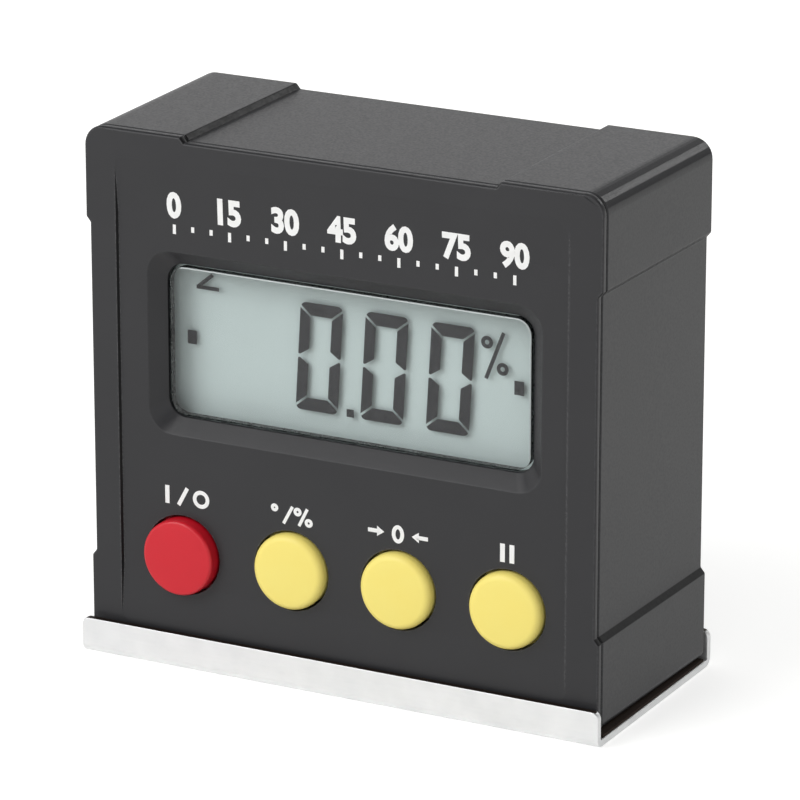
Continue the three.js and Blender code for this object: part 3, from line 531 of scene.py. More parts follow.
def softened(node: str, width: float, crisp: Callable[[Vector], bool] | None = None,
             mirrored: bool = False) -> bpy.types.Mesh:
    """Copy a CAD node with its hard edges rounded off and its broad faces kept flat.

    Args:
        node: Name of the CAD node.
        width: Width of the rounding.
        crisp: Tells by an edge's middle, in metres, whether it stays as it is.
        mirrored: Whether the half at positive Y is repeated in place of the other one.

    Returns:
        The rounded mesh.
    """
    work = merged_copy(node, width / 2 * MM)
    if mirrored:
        bmesh.ops.symmetrize(work, input=[*work.verts, *work.edges, *work.faces], direction="Y", dist=MERGE)
    weight = work.edges.layers.float.new("bevel_weight_edge")
    for edge in work.edges:
        turn = math.degrees(edge.calc_face_angle(0.0))
        hard = turn > HARD_EDGE
        kept = hard and crisp is not None and crisp((edge.verts[0].co + edge.verts[1].co) / 2)
        edge.smooth = not (kept or SHALLOW_CREASE[0] < turn < SHALLOW_CREASE[1])
        edge[weight] = float(hard and not kept)
    mesh = bpy.data.meshes.new(node + "_soft")
    work.to_mesh(mesh)
    source = BVHTree.FromBMesh(work)
    work.free()
    for face in mesh.polygons:
        face.use_smooth = True
    carrier = bpy.data.objects.new(node + "_carrier", mesh)
    bpy.context.scene.collection.objects.link(carrier)
    rounding = carrier.modifiers.new("rounding", "BEVEL")
    rounding.limit_method = "WEIGHT"
    rounding.width = width * MM
    rounding.segments = ROUND_FACES
    rounding.use_clamp_overlap = False
    flat = carrier.modifiers.new("flat faces", "WEIGHTED_NORMAL")
    flat.keep_sharp = True
    made = baked(carrier)
    # A corner that the rounding throws off goes back to the surface it came from
    for vertex in made.vertices:
        nearest, _, _, distance = source.find_nearest(vertex.co)
        if distance > width * MM:
            vertex.co = nearest
    return made


def baked(carrier: bpy.types.Object) -> bpy.types.Mesh:
    """Turn an object with live modifiers, a curve or a text into a plain mesh, and remove the object.

    Args:
        carrier: Object in the scene; its modifiers are removed with it.

    Returns:
        The evaluated mesh.
    """
    state = bpy.context.evaluated_depsgraph_get()
    state.update()
    mesh = bpy.data.meshes.new_from_object(carrier.evaluated_get(state), preserve_all_data_layers=True,
                                           depsgraph=state)
    carrier.modifiers.clear()
    bpy.data.objects.remove(carrier)
    return mesh


def lathe(profile: Sequence[Point], steps: int, centre: Vector, axis: Vector) -> bmesh.types.BMesh:
    """Turn a profile about an axis.

    Args:
        profile: Radius and height pairs in millimetres, from one pole to the other.
        steps: Faces round the axis.
        centre: Point of the axis at height zero, in metres.
        axis: Direction in which height grows.

    Returns:
        A closed bmesh in place.
    """
    work = bmesh.new()
    across = axis.orthogonal().normalized()
    beside = axis.cross(across)
    rings = []
    for radius, height in profile:
        middle = centre + axis * height * MM
        if radius <= 0:
            rings.append([work.verts.new(middle)])
            continue
        turns = [2 * math.pi * i / steps for i in range(steps)]
        rings.append([work.verts.new(middle + (across * math.cos(t) + beside * math.sin(t)) * radius * MM)
                      for t in turns])
    for low, high in zip(rings, rings[1:]):
        for i in range(steps):
            j = (i + 1) % steps
            corners = [low[i % len(low)], low[j % len(low)], high[j % len(high)], high[i % len(high)]]
            face = list(dict.fromkeys(corners))
            if len(face) > 2:
                work.faces.new(face)
    return work


def rounded(start: Point, corner: Point, end: Point, radius: float, steps: int = 5) -> list[Point]:
    """Round a square corner of a profile whose sides run along the axes.

    Args:
        start: Point before the corner.
        corner: The corner.
        end: Point after it.
        radius: Radius of the rounding.
        steps: Faces along it.

    Returns:
        Points of the arc, from the side of start to that of end.
    """
    before, after = ([(a > b) - (a < b) for a, b in zip(point, corner)] for point in (start, end))
    points = []
    for i in range(steps + 1):
        turn = math.pi / 2 * i / steps
        along, off = 1 - math.sin(turn), 1 - math.cos(turn)
        points.append((corner[0] + radius * (before[0] * along + after[0] * off),
                       corner[1] + radius * (before[1] * along + after[1] * off)))
    return points


def flat_plate(shapes: Iterable[Sequence[Point]], front: float, back: float, name: str) -> bpy.types.Mesh:
    """Make thin solids out of outlines seen from the front.

    Args:
        shapes: Outlines as x and z pairs in millimetres; neighbours that share corners join up.
        front: Place of their front in metres along Y.
        back: Place of their back in metres along Y.
        name: Name of the mesh.

    Returns:
        One mesh of closed bodies.
    """
    work = bmesh.new()
    for shape in shapes:
        work.faces.new([work.verts.new((x * MM, front, z * MM)) for x, z in shape])
    bmesh.ops.remove_doubles(work, verts=work.verts, dist=MERGE)
    grown = bmesh.ops.extrude_face_region(work, geom=work.faces[:])
    moved = [item for item in grown["geom"] if isinstance(item, bmesh.types.BMVert)]
    bmesh.ops.translate(work, verts=moved, vec=(0, back - front, 0))
    return mesh_from(work, name, None)


def oval_ring(centre: Point, wide: float, high: float, line: float, steps: int = 32) -> list[list[Point]]:
    """Outline quads of an upright oval ring.

    Args:
        centre: Middle of the ring.
        wide: Half its width.
        high: Half its height.
        line: Width of its stroke.
        steps: Number of quads.

    Returns:
        One outline for each quad.
    """
    def corner(inset: float, i: int) -> Point:
        """Point of the ring at that step, inset from its outer edge."""
        turn = 2 * math.pi * (i % steps) / steps
        return centre[0] + (wide - inset) * math.cos(turn), centre[1] + (high - inset) * math.sin(turn)

    return [[corner(line, i), corner(0, i), corner(0, i + 1), corner(line, i + 1)] for i in range(steps)]


def bar_shape(start: Point, end: Point, width: float) -> list[Point]:
    """Outline a straight stroke between two points.

    Args:
        start: Middle of one end.
        end: Middle of the other end.
        width: Width of the stroke.

    Returns:
        Its four corners.
    """
    first, last = Vector(start), Vector(end)
    side = (last - first).orthogonal().normalized() * width / 2
    return [tuple(first + side), tuple(last + side), tuple(last - side), tuple(first - side)]


def block_shape(centre: Point, wide: float, high: float) -> list[Point]:
    """Outline of an upright rectangle round a centre."""
    corners = ((-1, -1), (1, -1), (1, 1), (-1, 1))
    return [(centre[0] + x * wide / 2, centre[1] + z * high / 2) for x, z in corners]


def lettering(text: str, height: float, weight: float, squeeze: float = 1.0) -> bpy.types.Mesh:
    """Make plain figures from the built-in typeface, standing upright and facing -Y.

    Args:
        text: Figures to set.
        height: Height of a figure in millimetres.
        weight: How far each stroke is grown, as a share of the height.
        squeeze: Width as a share of the typeface's own.

    Returns:
        Mesh of closed bodies a millimetre thick, centred on the origin in X and Z.
    """
    curve = bpy.data.curves.new(f"figures {text}", "FONT")
    curve.body = text
    curve.size = 1.0
    curve.offset = weight
    curve.extrude = 0.5
    curve.resolution_u = 4
    carrier = bpy.data.objects.new(f"figures {text}", curve)
    bpy.context.scene.collection.objects.link(carrier)
    mesh = baked(carrier)
    bpy.data.curves.remove(curve)
    xs = [v.co.x for v in mesh.vertices]
    ys = [v.co.y for v in mesh.vertices]
    scale = height * MM / (max(ys) - min(ys))
    middle = Vector(((max(xs) + min(xs)) / 2, (max(ys) + min(ys)) / 2, 0))
    upright = Matrix(((scale * squeeze, 0, 0, 0), (0, 0, -MM, 0), (0, scale, 0, 0), (0, 0, 0, 1)))
    mesh.transform(upright @ Matrix.Translation(-middle))
    work = bmesh.new()
    work.from_mesh(mesh)
    bpy.data.meshes.remove(mesh)
    return mesh_from(work, f"figures {text}", None)


class Graph:
    """Geometry Nodes tree with named inputs, run once on a mesh to give a plain mesh."""

    def __init__(self, name: str, inputs: dict[str, tuple[str, object]]) -> None:
        """Start the tree.

        Args:
            name: Name of the tree.
            inputs: Name of each input, with its socket type and the value it is run with.
        """
        self.tree = bpy.data.node_groups.new(name, "GeometryNodeTree")
        self.values = {key: value for key, (_, value) in inputs.items()}
        self.tree.interface.new_socket("Geometry", in_out="INPUT", socket_type="NodeSocketGeometry")
        self.sockets = {key: self.tree.interface.new_socket(key, in_out="INPUT", socket_type=kind)
                        for key, (kind, _) in inputs.items()}
        self.tree.interface.new_socket("Geometry", in_out="OUTPUT", socket_type="NodeSocketGeometry")
        self.source = self.add("NodeGroupInput")

    def add(self, kind: str, inputs: dict | None = None, **settings: object) -> bpy.types.Node:
        """Add a node to the tree."""
        return add_node(self.tree, kind, inputs, **settings)

    def given(self, name: str) -> bpy.types.NodeSocket:
        """Socket that gives the value of a named input."""
        return self.source.outputs[name]

    def run(self, result: bpy.types.NodeSocket, finish: bpy.types.Material,
            points: Sequence[Vector]) -> bpy.types.Mesh:
        """End the tree, run it on loose points and return what it makes.

        Args:
            result: Socket with the finished geometry or instances.
            finish: Material that the tree sets.
            points: Places of the loose points, in metres.

        Returns:
            Plain mesh, with its faces outwards.
        """
        real = self.add("GeometryNodeRealizeInstances", {0: result})
        dressed = self.add("GeometryNodeSetMaterial", {"Geometry": real.outputs[0], "Material": finish})
        self.add("NodeGroupOutput", {0: dressed.outputs[0]})
        mesh = bpy.data.meshes.new(self.tree.name)
        mesh.from_pydata([tuple(point) for point in points], [], [])
        carrier = bpy.data.objects.new(self.tree.name, mesh)
        bpy.context.scene.collection.objects.link(carrier)
        modifier = carrier.modifiers.new(self.tree.name, "NODES")
        modifier.node_group = self.tree
        for key, value in self.values.items():
            modifier[self.sockets[key].identifier] = value
        work = bmesh.new()
        work.from_mesh(baked(carrier))
        made = mesh_from(work, self.tree.name)
        made.materials.clear()
        made.materials.append(finish)
        return made


def centre_of(node: str) -> Vector:
    """Middle of a CAD node's box, in metres."""
    low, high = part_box(node)
    return (low + high) / 2


@dataclass
class Case:
    """Moulded case: front cover, rear housing and the battery cover that swings out of its back."""

    edge: float = 0.1
    door_edge: float = 0.12
    corner_zone: float = 4.0
    top_zone: float = 8.0
    ramp_depth: float = 1.0
    ramp_slope: float = 0.3
    wall_slope: float = 0.5
    strip_width: float = 3.7
    step_margin: float = 1.5
    latch_reach: float = 5.0
    latch_margin: float = 0.5
    sink: float = 0.4

    def build(self, grained: bpy.types.Material, shaded_wall: bpy.types.Material) -> None:
        """Round the mouldings' edges off and dress them.

        Args:
            grained: Finish of the outer faces.
            shaded_wall: Finish of the steep walls between them, painted darker as painted shade.
        """
        for name, node in (("case_front", "front_cover"), ("case_rear", "rear_housing")):
            low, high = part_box(node)
            mesh = softened(node, self.edge, lambda place, low=low, high=high: self.on_step(place, low, high))
            self.mark_walls(mesh, low, high)
            add_piece(name, mesh, Body.GAUGE, [grained, shaded_wall], [node])
        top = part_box("battery_cover")[1].z / MM
        door = softened("battery_cover", self.door_edge, lambda place: self.on_ridges(place / MM, top))
        add_piece("battery_door", door, Body.DOOR, [grained], ["battery_cover"])

    def on_ridges(self, place: Vector, top: float) -> bool:
        """Whether a place in millimetres lies on the grip ridges below the top of the battery door."""
        return abs(place.x) < self.latch_reach and self.latch_margin < top - place.z < self.latch_reach

    def on_step(self, place: Vector, low: Vector, high: Vector) -> bool:
        """Tell whether a place lies on the step between a moulding's side strips and its sunk panel.

        Args:
            place: Place in metres.
            low: Lowest corner of the moulding's box.
            high: Highest corner of the moulding's box.

        Returns:
            True on the step.
        """
        beside = abs(abs(place.x) - high.x + self.strip_width * MM)
        margin = self.step_margin * MM
        return (place.y < low.y + self.sink * MM and beside < self.sink * 2 * MM
                and low.z + margin < place.z < high.z - margin)

    def mark_walls(self, mesh: bpy.types.Mesh, low: Vector, high: Vector) -> None:
        """Give the ramps of the corner pads and the sides of the sunk panel the second material, which paints
        shade on them.

        Args:
            mesh: Mesh of a moulding.
            low: Lowest corner of its box.
            high: Highest corner of its box.
        """
        zone, top_zone, depth = self.corner_zone * MM, self.top_zone * MM, self.ramp_depth * MM
        for face in mesh.polygons:
            x, _, z = face.center
            across, _, up = (abs(part) for part in face.normal)
            beside = abs(x) > high.x - zone and low.z + zone < z < high.z - zone
            on_top = abs(x) < high.x - top_zone and z > high.z - depth
            ramp = (beside and up > self.ramp_slope) or (on_top and across > self.ramp_slope)
            panel_side = across > self.wall_slope and self.on_step(face.center, low, high)
            # Ramps and panel sides take the darker finish: painted shade
            face.material_index = int(ramp or panel_side)


@dataclass
class DisplayFigures:
    """Places and strokes of the dark figures on the display, in millimetres on the plane of the crystal.

    The gap shares place the ends of a digit's strokes beside the diagonal gaps, in half gaps: the outer and
    inner ends of the top stroke, then the upper outer, upper inner, lower inner and lower outer corners of an
    upright. The mark shares are the length of the angle sign's base and the start and end of its slope.
    """

    digit_width: float = 5.0
    digit_height: float = 11.8
    digit_pitch: float = 7.65
    digit_count: int = 3
    slant: float = 0.7
    first_left: float = -7.15
    base: float = 29.6
    side_stroke: float = 1.25
    end_stroke: float = 1.5
    split: float = 0.22
    gap_shares: tuple[float, ...] = (0.4, 0.6, 1.6, 1.4, 1.5, 2.2)
    corner: float = 0.6
    corner_steps: int = 4
    bend: float = 0.45
    notch: float = 0.85
    notch_left: float = 0.2
    point_left: float = -1.1
    point_side: float = 0.85
    dot_size: Point = (1.1, 1.5)
    left_dot: Point = (-19.5, 35.6)
    right_dot: Point = (18.9, 35.7)
    percent_rings: tuple[Point, Point] = ((15.2, 40.1), (17.0, 37.45))
    percent_slash: tuple[Point, Point] = ((17.1, 41.35), (15.1, 36.2))
    ring_radius: float = 0.68
    thin_stroke: float = 0.42
    ring_steps: int = 24
    mark_left: float = -18.9
    mark_base: float = 41.25
    mark_size: float = 1.5
    mark_shares: tuple[float, float, float] = (1.8, 0.1, 1.3)

    def lean(self, left: float, points: Iterable[Point]) -> list[Point]:
        """Move upright points of a digit to its place, leaning it to the right."""
        return [(left + x + self.slant * z / self.digit_height, self.base + z) for x, z in points]

    def digit(self, left: float) -> list[list[Point]]:
        """Outlines of the six outer segments of a digit.

        Args:
            left: Place of its lower left corner.

        Returns:
            One outline for each segment.
        """
        wide, high = self.digit_width, self.digit_height
        side, cap, gap, turn = self.side_stroke, self.end_stroke, self.split / 2, self.corner
        outer, inner, top_out, top_in, low_in, low_out = (share * gap for share in self.gap_shares)
        turns = [math.pi / 2 * i / self.corner_steps for i in range(self.corner_steps + 1)]
        arc = [(turn * (1 - math.cos(a)), turn * (1 - math.sin(a))) for a in turns]
        corner = [(x + outer, high - z) for x, z in arc if z < self.bend]
        top = corner + [(wide - x, z) for x, z in reversed(corner)]
        top += [(wide - side - inner, high - cap + gap), (side + inner, high - cap + gap)]
        middle = high / 2
        upright = [(0, high - self.bend - top_out), (side, high - cap - top_in), (side, middle + self.notch),
                   (self.notch_left, middle + low_in), (0, middle + low_out)]
        shapes = []
        for flip_x in (False, True):
            shapes.append([(wide - x if flip_x else x, z) for x, z in upright])
            shapes.append([(wide - x if flip_x else x, high - z) for x, z in upright])
        shapes.append(top)
        shapes.append([(x, high - z) for x, z in top])
        return [self.lean(left, shape) for shape in shapes]

    def outlines(self) -> list[list[Point]]:
        """Outline every figure on the display.

        Returns:
            One outline for each stroke or quad.
        """
        shapes = []
        for i in range(self.digit_count):
            shapes += self.digit(self.first_left + i * self.digit_pitch)
        side = self.point_side
        shapes.append(block_shape((self.point_left + side / 2, self.base + side / 2), side, side))
        shapes.append(block_shape(self.left_dot, *self.dot_size))
        shapes.append(block_shape(self.right_dot, *self.dot_size))
        for centre in self.percent_rings:
            shapes += oval_ring(centre, self.ring_radius, self.ring_radius, self.thin_stroke, self.ring_steps)
        shapes.append(bar_shape(*self.percent_slash, self.thin_stroke))
        return shapes + self.angle_mark()

    def angle_mark(self) -> list[list[Point]]:
        """Outline a small plain angle sign in the upper left corner.

        Returns:
            Outlines of its base and its slope.
        """
        left, base = self.mark_left, self.mark_base
        length, start, end = (share * self.mark_size for share in self.mark_shares)
        return [bar_shape((left, base), (left + length, base), self.thin_stroke),
                bar_shape((left + start, base), (left + end, base + self.mark_size), self.thin_stroke)]


@dataclass
class Display:
    """Window lens and the liquid crystal cell behind it."""

    film: float = 0.012
    pane_gap: float = 0.02
    ground_edge: float = 0.08
    rounding: float = 0.2
    lit_from: float = -0.1
    edge_low: float = 0.15
    edge_high: float = 0.97

    def build(self, figures: DisplayFigures, clear: bpy.types.Material, painted_edge_highlight: bpy.types.Material,
              side: bpy.types.Material, glass: bpy.types.Material, ink: bpy.types.Material) -> None:
        """Make the lens with a painted highlight on the upper and right rounding of its front, the cell
        behind it and the figures inside the cell.

        Args:
            figures: Figures to show.
            clear: Finish of the lens.
            painted_edge_highlight: Finish of the rounding round its front, where it faces up or right: a
                painted highlight.
            side: Finish of its sides, painted near black as the reflection of the black case.
            glass: Finish of the cell.
            ink: Finish of the darkened crystal.
        """
        work = merged_copy("display_lens")
        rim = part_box("display_lens")[0].y + self.rounding * MM
        # Rounding faces that face up or right take the painted highlight; the sides take the painted
        # reflection of the black case
        for face in work.faces:
            slope = abs(face.normal.y)
            lit = min(face.normal.x, face.normal.z) > self.lit_from
            bright = lit and slope < self.edge_high and face.calc_center_median().y < rim
            face.material_index = 2 if slope < self.edge_low else int(bright)
        lens = mesh_from(work, "window_lens", None)
        add_piece("window_lens", lens, Body.GAUGE, [clear, painted_edge_highlight, side], ["display_lens"])
        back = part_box("lcd_front_glass")[1].y
        half = self.film / 2 * MM
        plate = flat_plate(figures.outlines(), back - half, back + half, "display_figures")
        add_piece("display_figures", plate, Body.GAUGE, [ink])
        add_piece("display_cell", self.cell(), Body.GAUGE, [glass],
                  ["lcd_front_glass", "lcd_rear_glass"])

    def cell(self) -> bpy.types.Mesh:
        """Front and rear glass bonded into one cell with ground edges, a hair thinner than the two CAD nodes.

        Returns:
            Mesh of the cell.
        """
        inset, ground = self.pane_gap * MM, self.ground_edge * MM
        front_low, front_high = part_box("lcd_front_glass")
        rear_low, rear_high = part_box("lcd_rear_glass")
        work = bmesh.new()
        rings = []
        for low, high, depth, inward in (
                (front_low, front_high, front_low.y + inset, ground),
                (front_low, front_high, front_low.y + inset + ground, 0.0),
                (front_low, front_high, front_high.y, 0.0),
                (rear_low, rear_high, rear_low.y, 0.0),
                (rear_low, rear_high, rear_high.y - inset - ground, 0.0),
                (rear_low, rear_high, rear_high.y - inset, ground)):
            rings.append([work.verts.new((x, depth, z)) for x, z in (
                (low.x + inward, low.z + inward), (high.x - inward, low.z + inward),
                (high.x - inward, high.z - inward), (low.x + inward, high.z - inward))])
        work.faces.new(rings[0])
        work.faces.new(rings[-1])
        for before, behind in zip(rings, rings[1:]):
            for i in range(4):
                corners = [before[i], before[(i + 1) % 4], behind[(i + 1) % 4], behind[i]]
                if len({tuple(corner.co) for corner in corners}) > 2:
                    work.faces.new(corners)
        return mesh_from(work, "display_cell", None)


@dataclass
class KeyCap:
    """Push button: a crowned round cap with a soft edge, a retaining flange and a stem."""

    edge: float
    edge_steps: int = 7
    radius: float = 4.15
    crown: float = 0.12
    flange_to_end: float = 1.3
    flange_radius: float = 4.9
    flange_depth: float = 0.8
    stem_radius: float = 2.0
    steps: int = 96
    crown_rings: int = 6

    def build(self, node: str, body: Body, slot: Slot, finish: bpy.types.Material) -> None:
        """Turn the cap in place of its CAD node.

        Args:
            node: CAD node that it stands for.
            body: Body that it rides on.
            slot: Material slot of its colour; not used.
            finish: Its finish.
        """
        low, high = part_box(node)
        centre = Vector(((low.x + high.x) / 2, low.y, (low.z + high.z) / 2))
        depth = (high.y - low.y) / MM
        flat = self.radius - self.edge
        profile = [(flat * i / self.crown_rings, self.crown * (i / self.crown_rings) ** 2)
                   for i in range(self.crown_rings)]
        profile += rounded((0, self.crown), (self.radius, self.crown), (self.radius, depth), self.edge,
                           self.edge_steps)
        seat = depth - self.flange_to_end
        flange_end = seat + self.flange_depth
        profile += [(self.radius, seat), (self.flange_radius, seat), (self.flange_radius, flange_end),
                    (self.stem_radius, flange_end), (self.stem_radius, depth), (0, depth)]
        work = lathe(profile, self.steps, centre, Vector((0, 1, 0)))
        cap = mesh_from(work, node + "_cap", TURNED_SMOOTH)
        add_piece(node + "_cap", cap, body, [finish], [node])


@dataclass
class Printing:
    """Plain white marks printed on the face: a row of figures over a scale, and signs over the keys.

    The shares are places and sizes as shares of the sign size, from the middle of a sign. A stroke has its
    two ends, a ring has its middle and half its width and height. The arrow shares are its tip, where its
    shaft starts, the back of its head, its tail and half the height of its head.
    """

    ink: float = 0.02
    sunk: float = 0.01
    angles: range = range(0, 91, 15)
    scale_left: float = -19.4
    scale_right: float = 20.1
    scale_middle: float = 50.95
    figure_height: float = 2.9
    figure_weight: float = 0.045
    figure_squeeze: float = 0.9
    tick_top: float = 48.85
    tick_height: float = 0.6
    tick_width: float = 0.36
    ticks_per_figure: int = 3
    long_tick: float = 1.7
    sign_middle: float = 19.05
    sign_size: float = 2.0
    stroke: float = 0.44
    bar_weight: float = 1.15
    fine_weight: float = 0.8
    hold_weight: float = 1.25
    small_ring_steps: int = 20
    sign_places: tuple[float, float, float, float] = (-18.5, -5.85, 6.82, 19.45)
    bar_shares: tuple[Point, Point] = ((-1.1, -0.5), (-1.1, 0.5))
    slash_shares: tuple[Point, Point] = ((-0.42, -0.5), (0.12, 0.5))
    circle_shares: Ring = (0.95, 0.0, 0.5, 0.5)
    degree_shares: Ring = (-0.95, 0.3, 0.22, 0.22)
    percent_shares: tuple[Ring, Ring] = ((0.42, 0.26, 0.24, 0.24), (1.08, -0.26, 0.24, 0.24))
    percent_slash_shares: tuple[Point, Point] = ((0.5, -0.5), (1.0, 0.5))
    zero_shares: Ring = (0.0, 0.0, 0.36, 0.5)
    arrow_shares: tuple[float, ...] = (0.8, 1.1, 1.22, 1.75, 0.28)
    hold_share: float = 0.27

    def surface(self) -> BVHTree:
        """Search tree of the front cover's surface."""
        return BVHTree.FromObject(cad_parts["front_cover"], bpy.context.evaluated_depsgraph_get())

    def drape(self, mesh: bpy.types.Mesh, cover: BVHTree) -> bpy.types.Mesh:
        """Lay a flat mesh on the cover, its front proud of the face and its back just below it.

        Args:
            mesh: Mesh whose front lies at negative Y and whose back at positive Y.
            cover: Surface that it lies on.

        Returns:
            The same mesh.
        """
        for vertex in mesh.vertices:
            hit = cover.ray_cast(Vector((vertex.co.x, -1, vertex.co.z)), Vector((0, 1, 0)))[0]
            vertex.co.y = hit.y - self.ink * MM if vertex.co.y < 0 else hit.y + self.sunk * MM
        return mesh

    def build(self, ink: bpy.types.Material) -> None:
        """Print the scale and the signs.

        Args:
            ink: Finish of the print.
        """
        cover = self.surface()
        self.print_figures(ink, cover)
        ticks = self.drape(self.ticks(ink), cover)
        add_piece("scale_ticks", ticks, Body.GAUGE)
        signs = flat_plate(self.signs(), -self.ink * MM, self.sunk * MM, "key_signs")
        add_piece("key_signs", self.drape(signs, cover), Body.GAUGE, [ink])

    def print_figures(self, ink: bpy.types.Material, cover: BVHTree) -> None:
        """Print the angles of the scale as one piece.

        Args:
            ink: Finish of the print.
            cover: Surface that the figures lie on.
        """
        step = (self.scale_right - self.scale_left) / (len(self.angles) - 1)
        work = bmesh.new()
        for i, angle in enumerate(self.angles):
            mesh = lettering(str(angle), self.figure_height, self.figure_weight, self.figure_squeeze)
            mesh.transform(Matrix.Translation(((self.scale_left + i * step) * MM, 0, self.scale_middle * MM)))
            self.drape(mesh, cover)
            work.from_mesh(mesh)
            bpy.data.meshes.remove(mesh)
        figures = mesh_from(work, "scale_figures", None)
        add_piece("scale_figures", figures, Body.GAUGE, [ink])

    def ticks(self, ink: bpy.types.Material) -> bpy.types.Mesh:
        """Make the ticks under the figures, the one under each figure longer.

        Args:
            ink: Material that the tree sets.

        Returns:
            Flat mesh of the ticks, which isn't on the cover yet.
        """
        count = (len(self.angles) - 1) * self.ticks_per_figure + 1
        step = (self.scale_right - self.scale_left) / (count - 1)
        graph = Graph("scale ticks", {
            "Count": ("NodeSocketInt", count),
            "Step": ("NodeSocketFloat", step * MM),
            "Width": ("NodeSocketFloat", self.tick_width * MM),
            "Height": ("NodeSocketFloat", self.tick_height * MM),
            "Ink": ("NodeSocketFloat", self.ink * MM),
            "Long every": ("NodeSocketInt", self.ticks_per_figure),
            "Long by": ("NodeSocketFloat", self.long_tick)})
        step_vector = graph.add("ShaderNodeCombineXYZ", {"X": graph.given("Step")})
        line = graph.add("GeometryNodeMeshLine", {
            "Count": graph.given("Count"), "Offset": step_vector.outputs[0]})
        size = graph.add("ShaderNodeCombineXYZ", {
            "X": graph.given("Width"), "Y": graph.given("Ink"), "Z": graph.given("Height")})
        tick = graph.add("GeometryNodeMeshCube", {"Size": size.outputs[0]})
        drop = graph.add("ShaderNodeMath", {0: graph.given("Height"), 1: -0.5}, operation="MULTIPLY")
        drop_vector = graph.add("ShaderNodeCombineXYZ", {"Z": drop.outputs[0]})
        hung = graph.add("GeometryNodeTransform", {
            "Geometry": tick.outputs[0], "Translation": drop_vector.outputs[0]})
        number = graph.add("GeometryNodeInputIndex")
        left_over = graph.add("ShaderNodeMath", {0: number.outputs[0], 1: graph.given("Long every")},
                              operation="MODULO")
        is_long = graph.add("ShaderNodeMath", {0: left_over.outputs[0], 1: 0.5}, operation="LESS_THAN")
        extra = graph.add("ShaderNodeMath", {0: graph.given("Long by"), 1: 1.0}, operation="SUBTRACT")
        high = graph.add("ShaderNodeMath", {0: is_long.outputs[0], 1: extra.outputs[0], 2: 1.0},
                         operation="MULTIPLY_ADD")
        scale = graph.add("ShaderNodeCombineXYZ", {"X": 1.0, "Y": 1.0, "Z": high.outputs[0]})
        copies = graph.add("GeometryNodeInstanceOnPoints", {
            "Points": line.outputs[0], "Instance": hung.outputs[0], "Scale": scale.outputs[0]})
        mesh = graph.run(copies.outputs[0], ink, [Vector()])
        mesh.transform(Matrix.Translation((self.scale_left * MM, 0, self.tick_top * MM)))
        return mesh

    def stroke_at(self, sign: float, ends: tuple[Point, Point], weight: float = 1.0) -> list[Point]:
        """Outline a stroke of a sign.

        Args:
            sign: Place of the sign's middle along X.
            ends: Ends of the stroke, as shares.
            weight: Its width as a share of the usual one.

        Returns:
            Its four corners.
        """
        start, end = ((sign + across * self.sign_size, self.sign_middle + up * self.sign_size)
                      for across, up in ends)
        return bar_shape(start, end, weight * self.stroke)

    def ring_at(self, sign: float, shares: Ring, weight: float = 1.0, steps: int = 32) -> list[list[Point]]:
        """Outline a ring of a sign.

        Args:
            sign: Place of the sign's middle along X.
            shares: Middle of the ring and half its width and height, as shares.
            weight: Width of its stroke as a share of the usual one.
            steps: Number of quads.

        Returns:
            One outline for each quad.
        """
        across, up, wide, high = (share * self.sign_size for share in shares)
        return oval_ring((sign + across, self.sign_middle + up), wide, high, weight * self.stroke, steps)

    def signs(self) -> list[list[Point]]:
        """Outline the four key signs.

        Returns:
            Outlines of the signs for on or off, degrees or per cent, set to zero, and hold.
        """
        power, unit, zero, hold = self.sign_places
        fine, small = self.fine_weight, self.small_ring_steps
        shapes = self.ring_at(power, self.circle_shares)
        shapes.append(self.stroke_at(power, self.bar_shares, self.bar_weight))
        shapes.append(self.stroke_at(power, self.slash_shares))
        shapes += self.ring_at(unit, self.degree_shares, fine, small)
        shapes.append(self.stroke_at(unit, self.slash_shares, fine))
        for ring in self.percent_shares:
            shapes += self.ring_at(unit, ring, fine, small)
        shapes.append(self.stroke_at(unit, self.percent_slash_shares, fine))
        shapes += self.ring_at(zero, self.zero_shares)
        shapes += self.arrow(zero, -1) + self.arrow(zero, 1)
        for side in (-self.hold_share, self.hold_share):
            shapes.append(self.stroke_at(hold, ((side, -0.5), (side, 0.5)), self.hold_weight))
        return shapes

    def arrow(self, sign: float, side: int) -> list[list[Point]]:
        """Outline an arrow that points at the middle of a sign.

        Args:
            sign: Place of the sign's middle along X.
            side: Side that the arrow stands on, -1 or 1.

        Returns:
            Outlines of its shaft and its head.
        """
        tip, neck, barb, tail, spread = (share * self.sign_size for share in self.arrow_shares)
        base = self.sign_middle
        return [bar_shape((sign + side * tail, base), (sign + side * neck, base), self.stroke),
                [(sign + side * tip, base), (sign + side * barb, base + spread),
                 (sign + side * barb, base - spread)]]


@dataclass
class Base:
    """Bent steel channel under the case, its adhesive pad and the two magnets."""

    edge: float = 0.1
    level: float = 0.9

    def build(self, steel: bpy.types.Material, sheared: bpy.types.Material, pad: bpy.types.Material,
              magnet: bpy.types.Material) -> None:
        """Round the channel's sheared edges off and dress the base.

        The front lip takes the back lip's form, a whole sheet thick up to its upper edge.

        Args:
            steel: Finish of the channel.
            sheared: Finish of the upper edges of its lips: sheared steel, painted dark as the reflection of
                the case above.
            pad: Finish of the adhesive pad.
            magnet: Finish of the magnets.
        """
        channel = softened("base_channel", self.edge, mirrored=True)
        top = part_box("base_channel")[1].z - self.edge * MM
        # The lips' upper edges take the dark finish: sheared steel with a painted reflection of the case
        for face in channel.polygons:
            face.material_index = int(face.normal.z > self.level and face.center.z > top)
        add_piece("steel_channel", channel, Body.GAUGE, [steel, sheared], ["base_channel"])
        dress(pad, "adhesive_pad")
        dress(magnet, "magnet_left", "magnet_right")


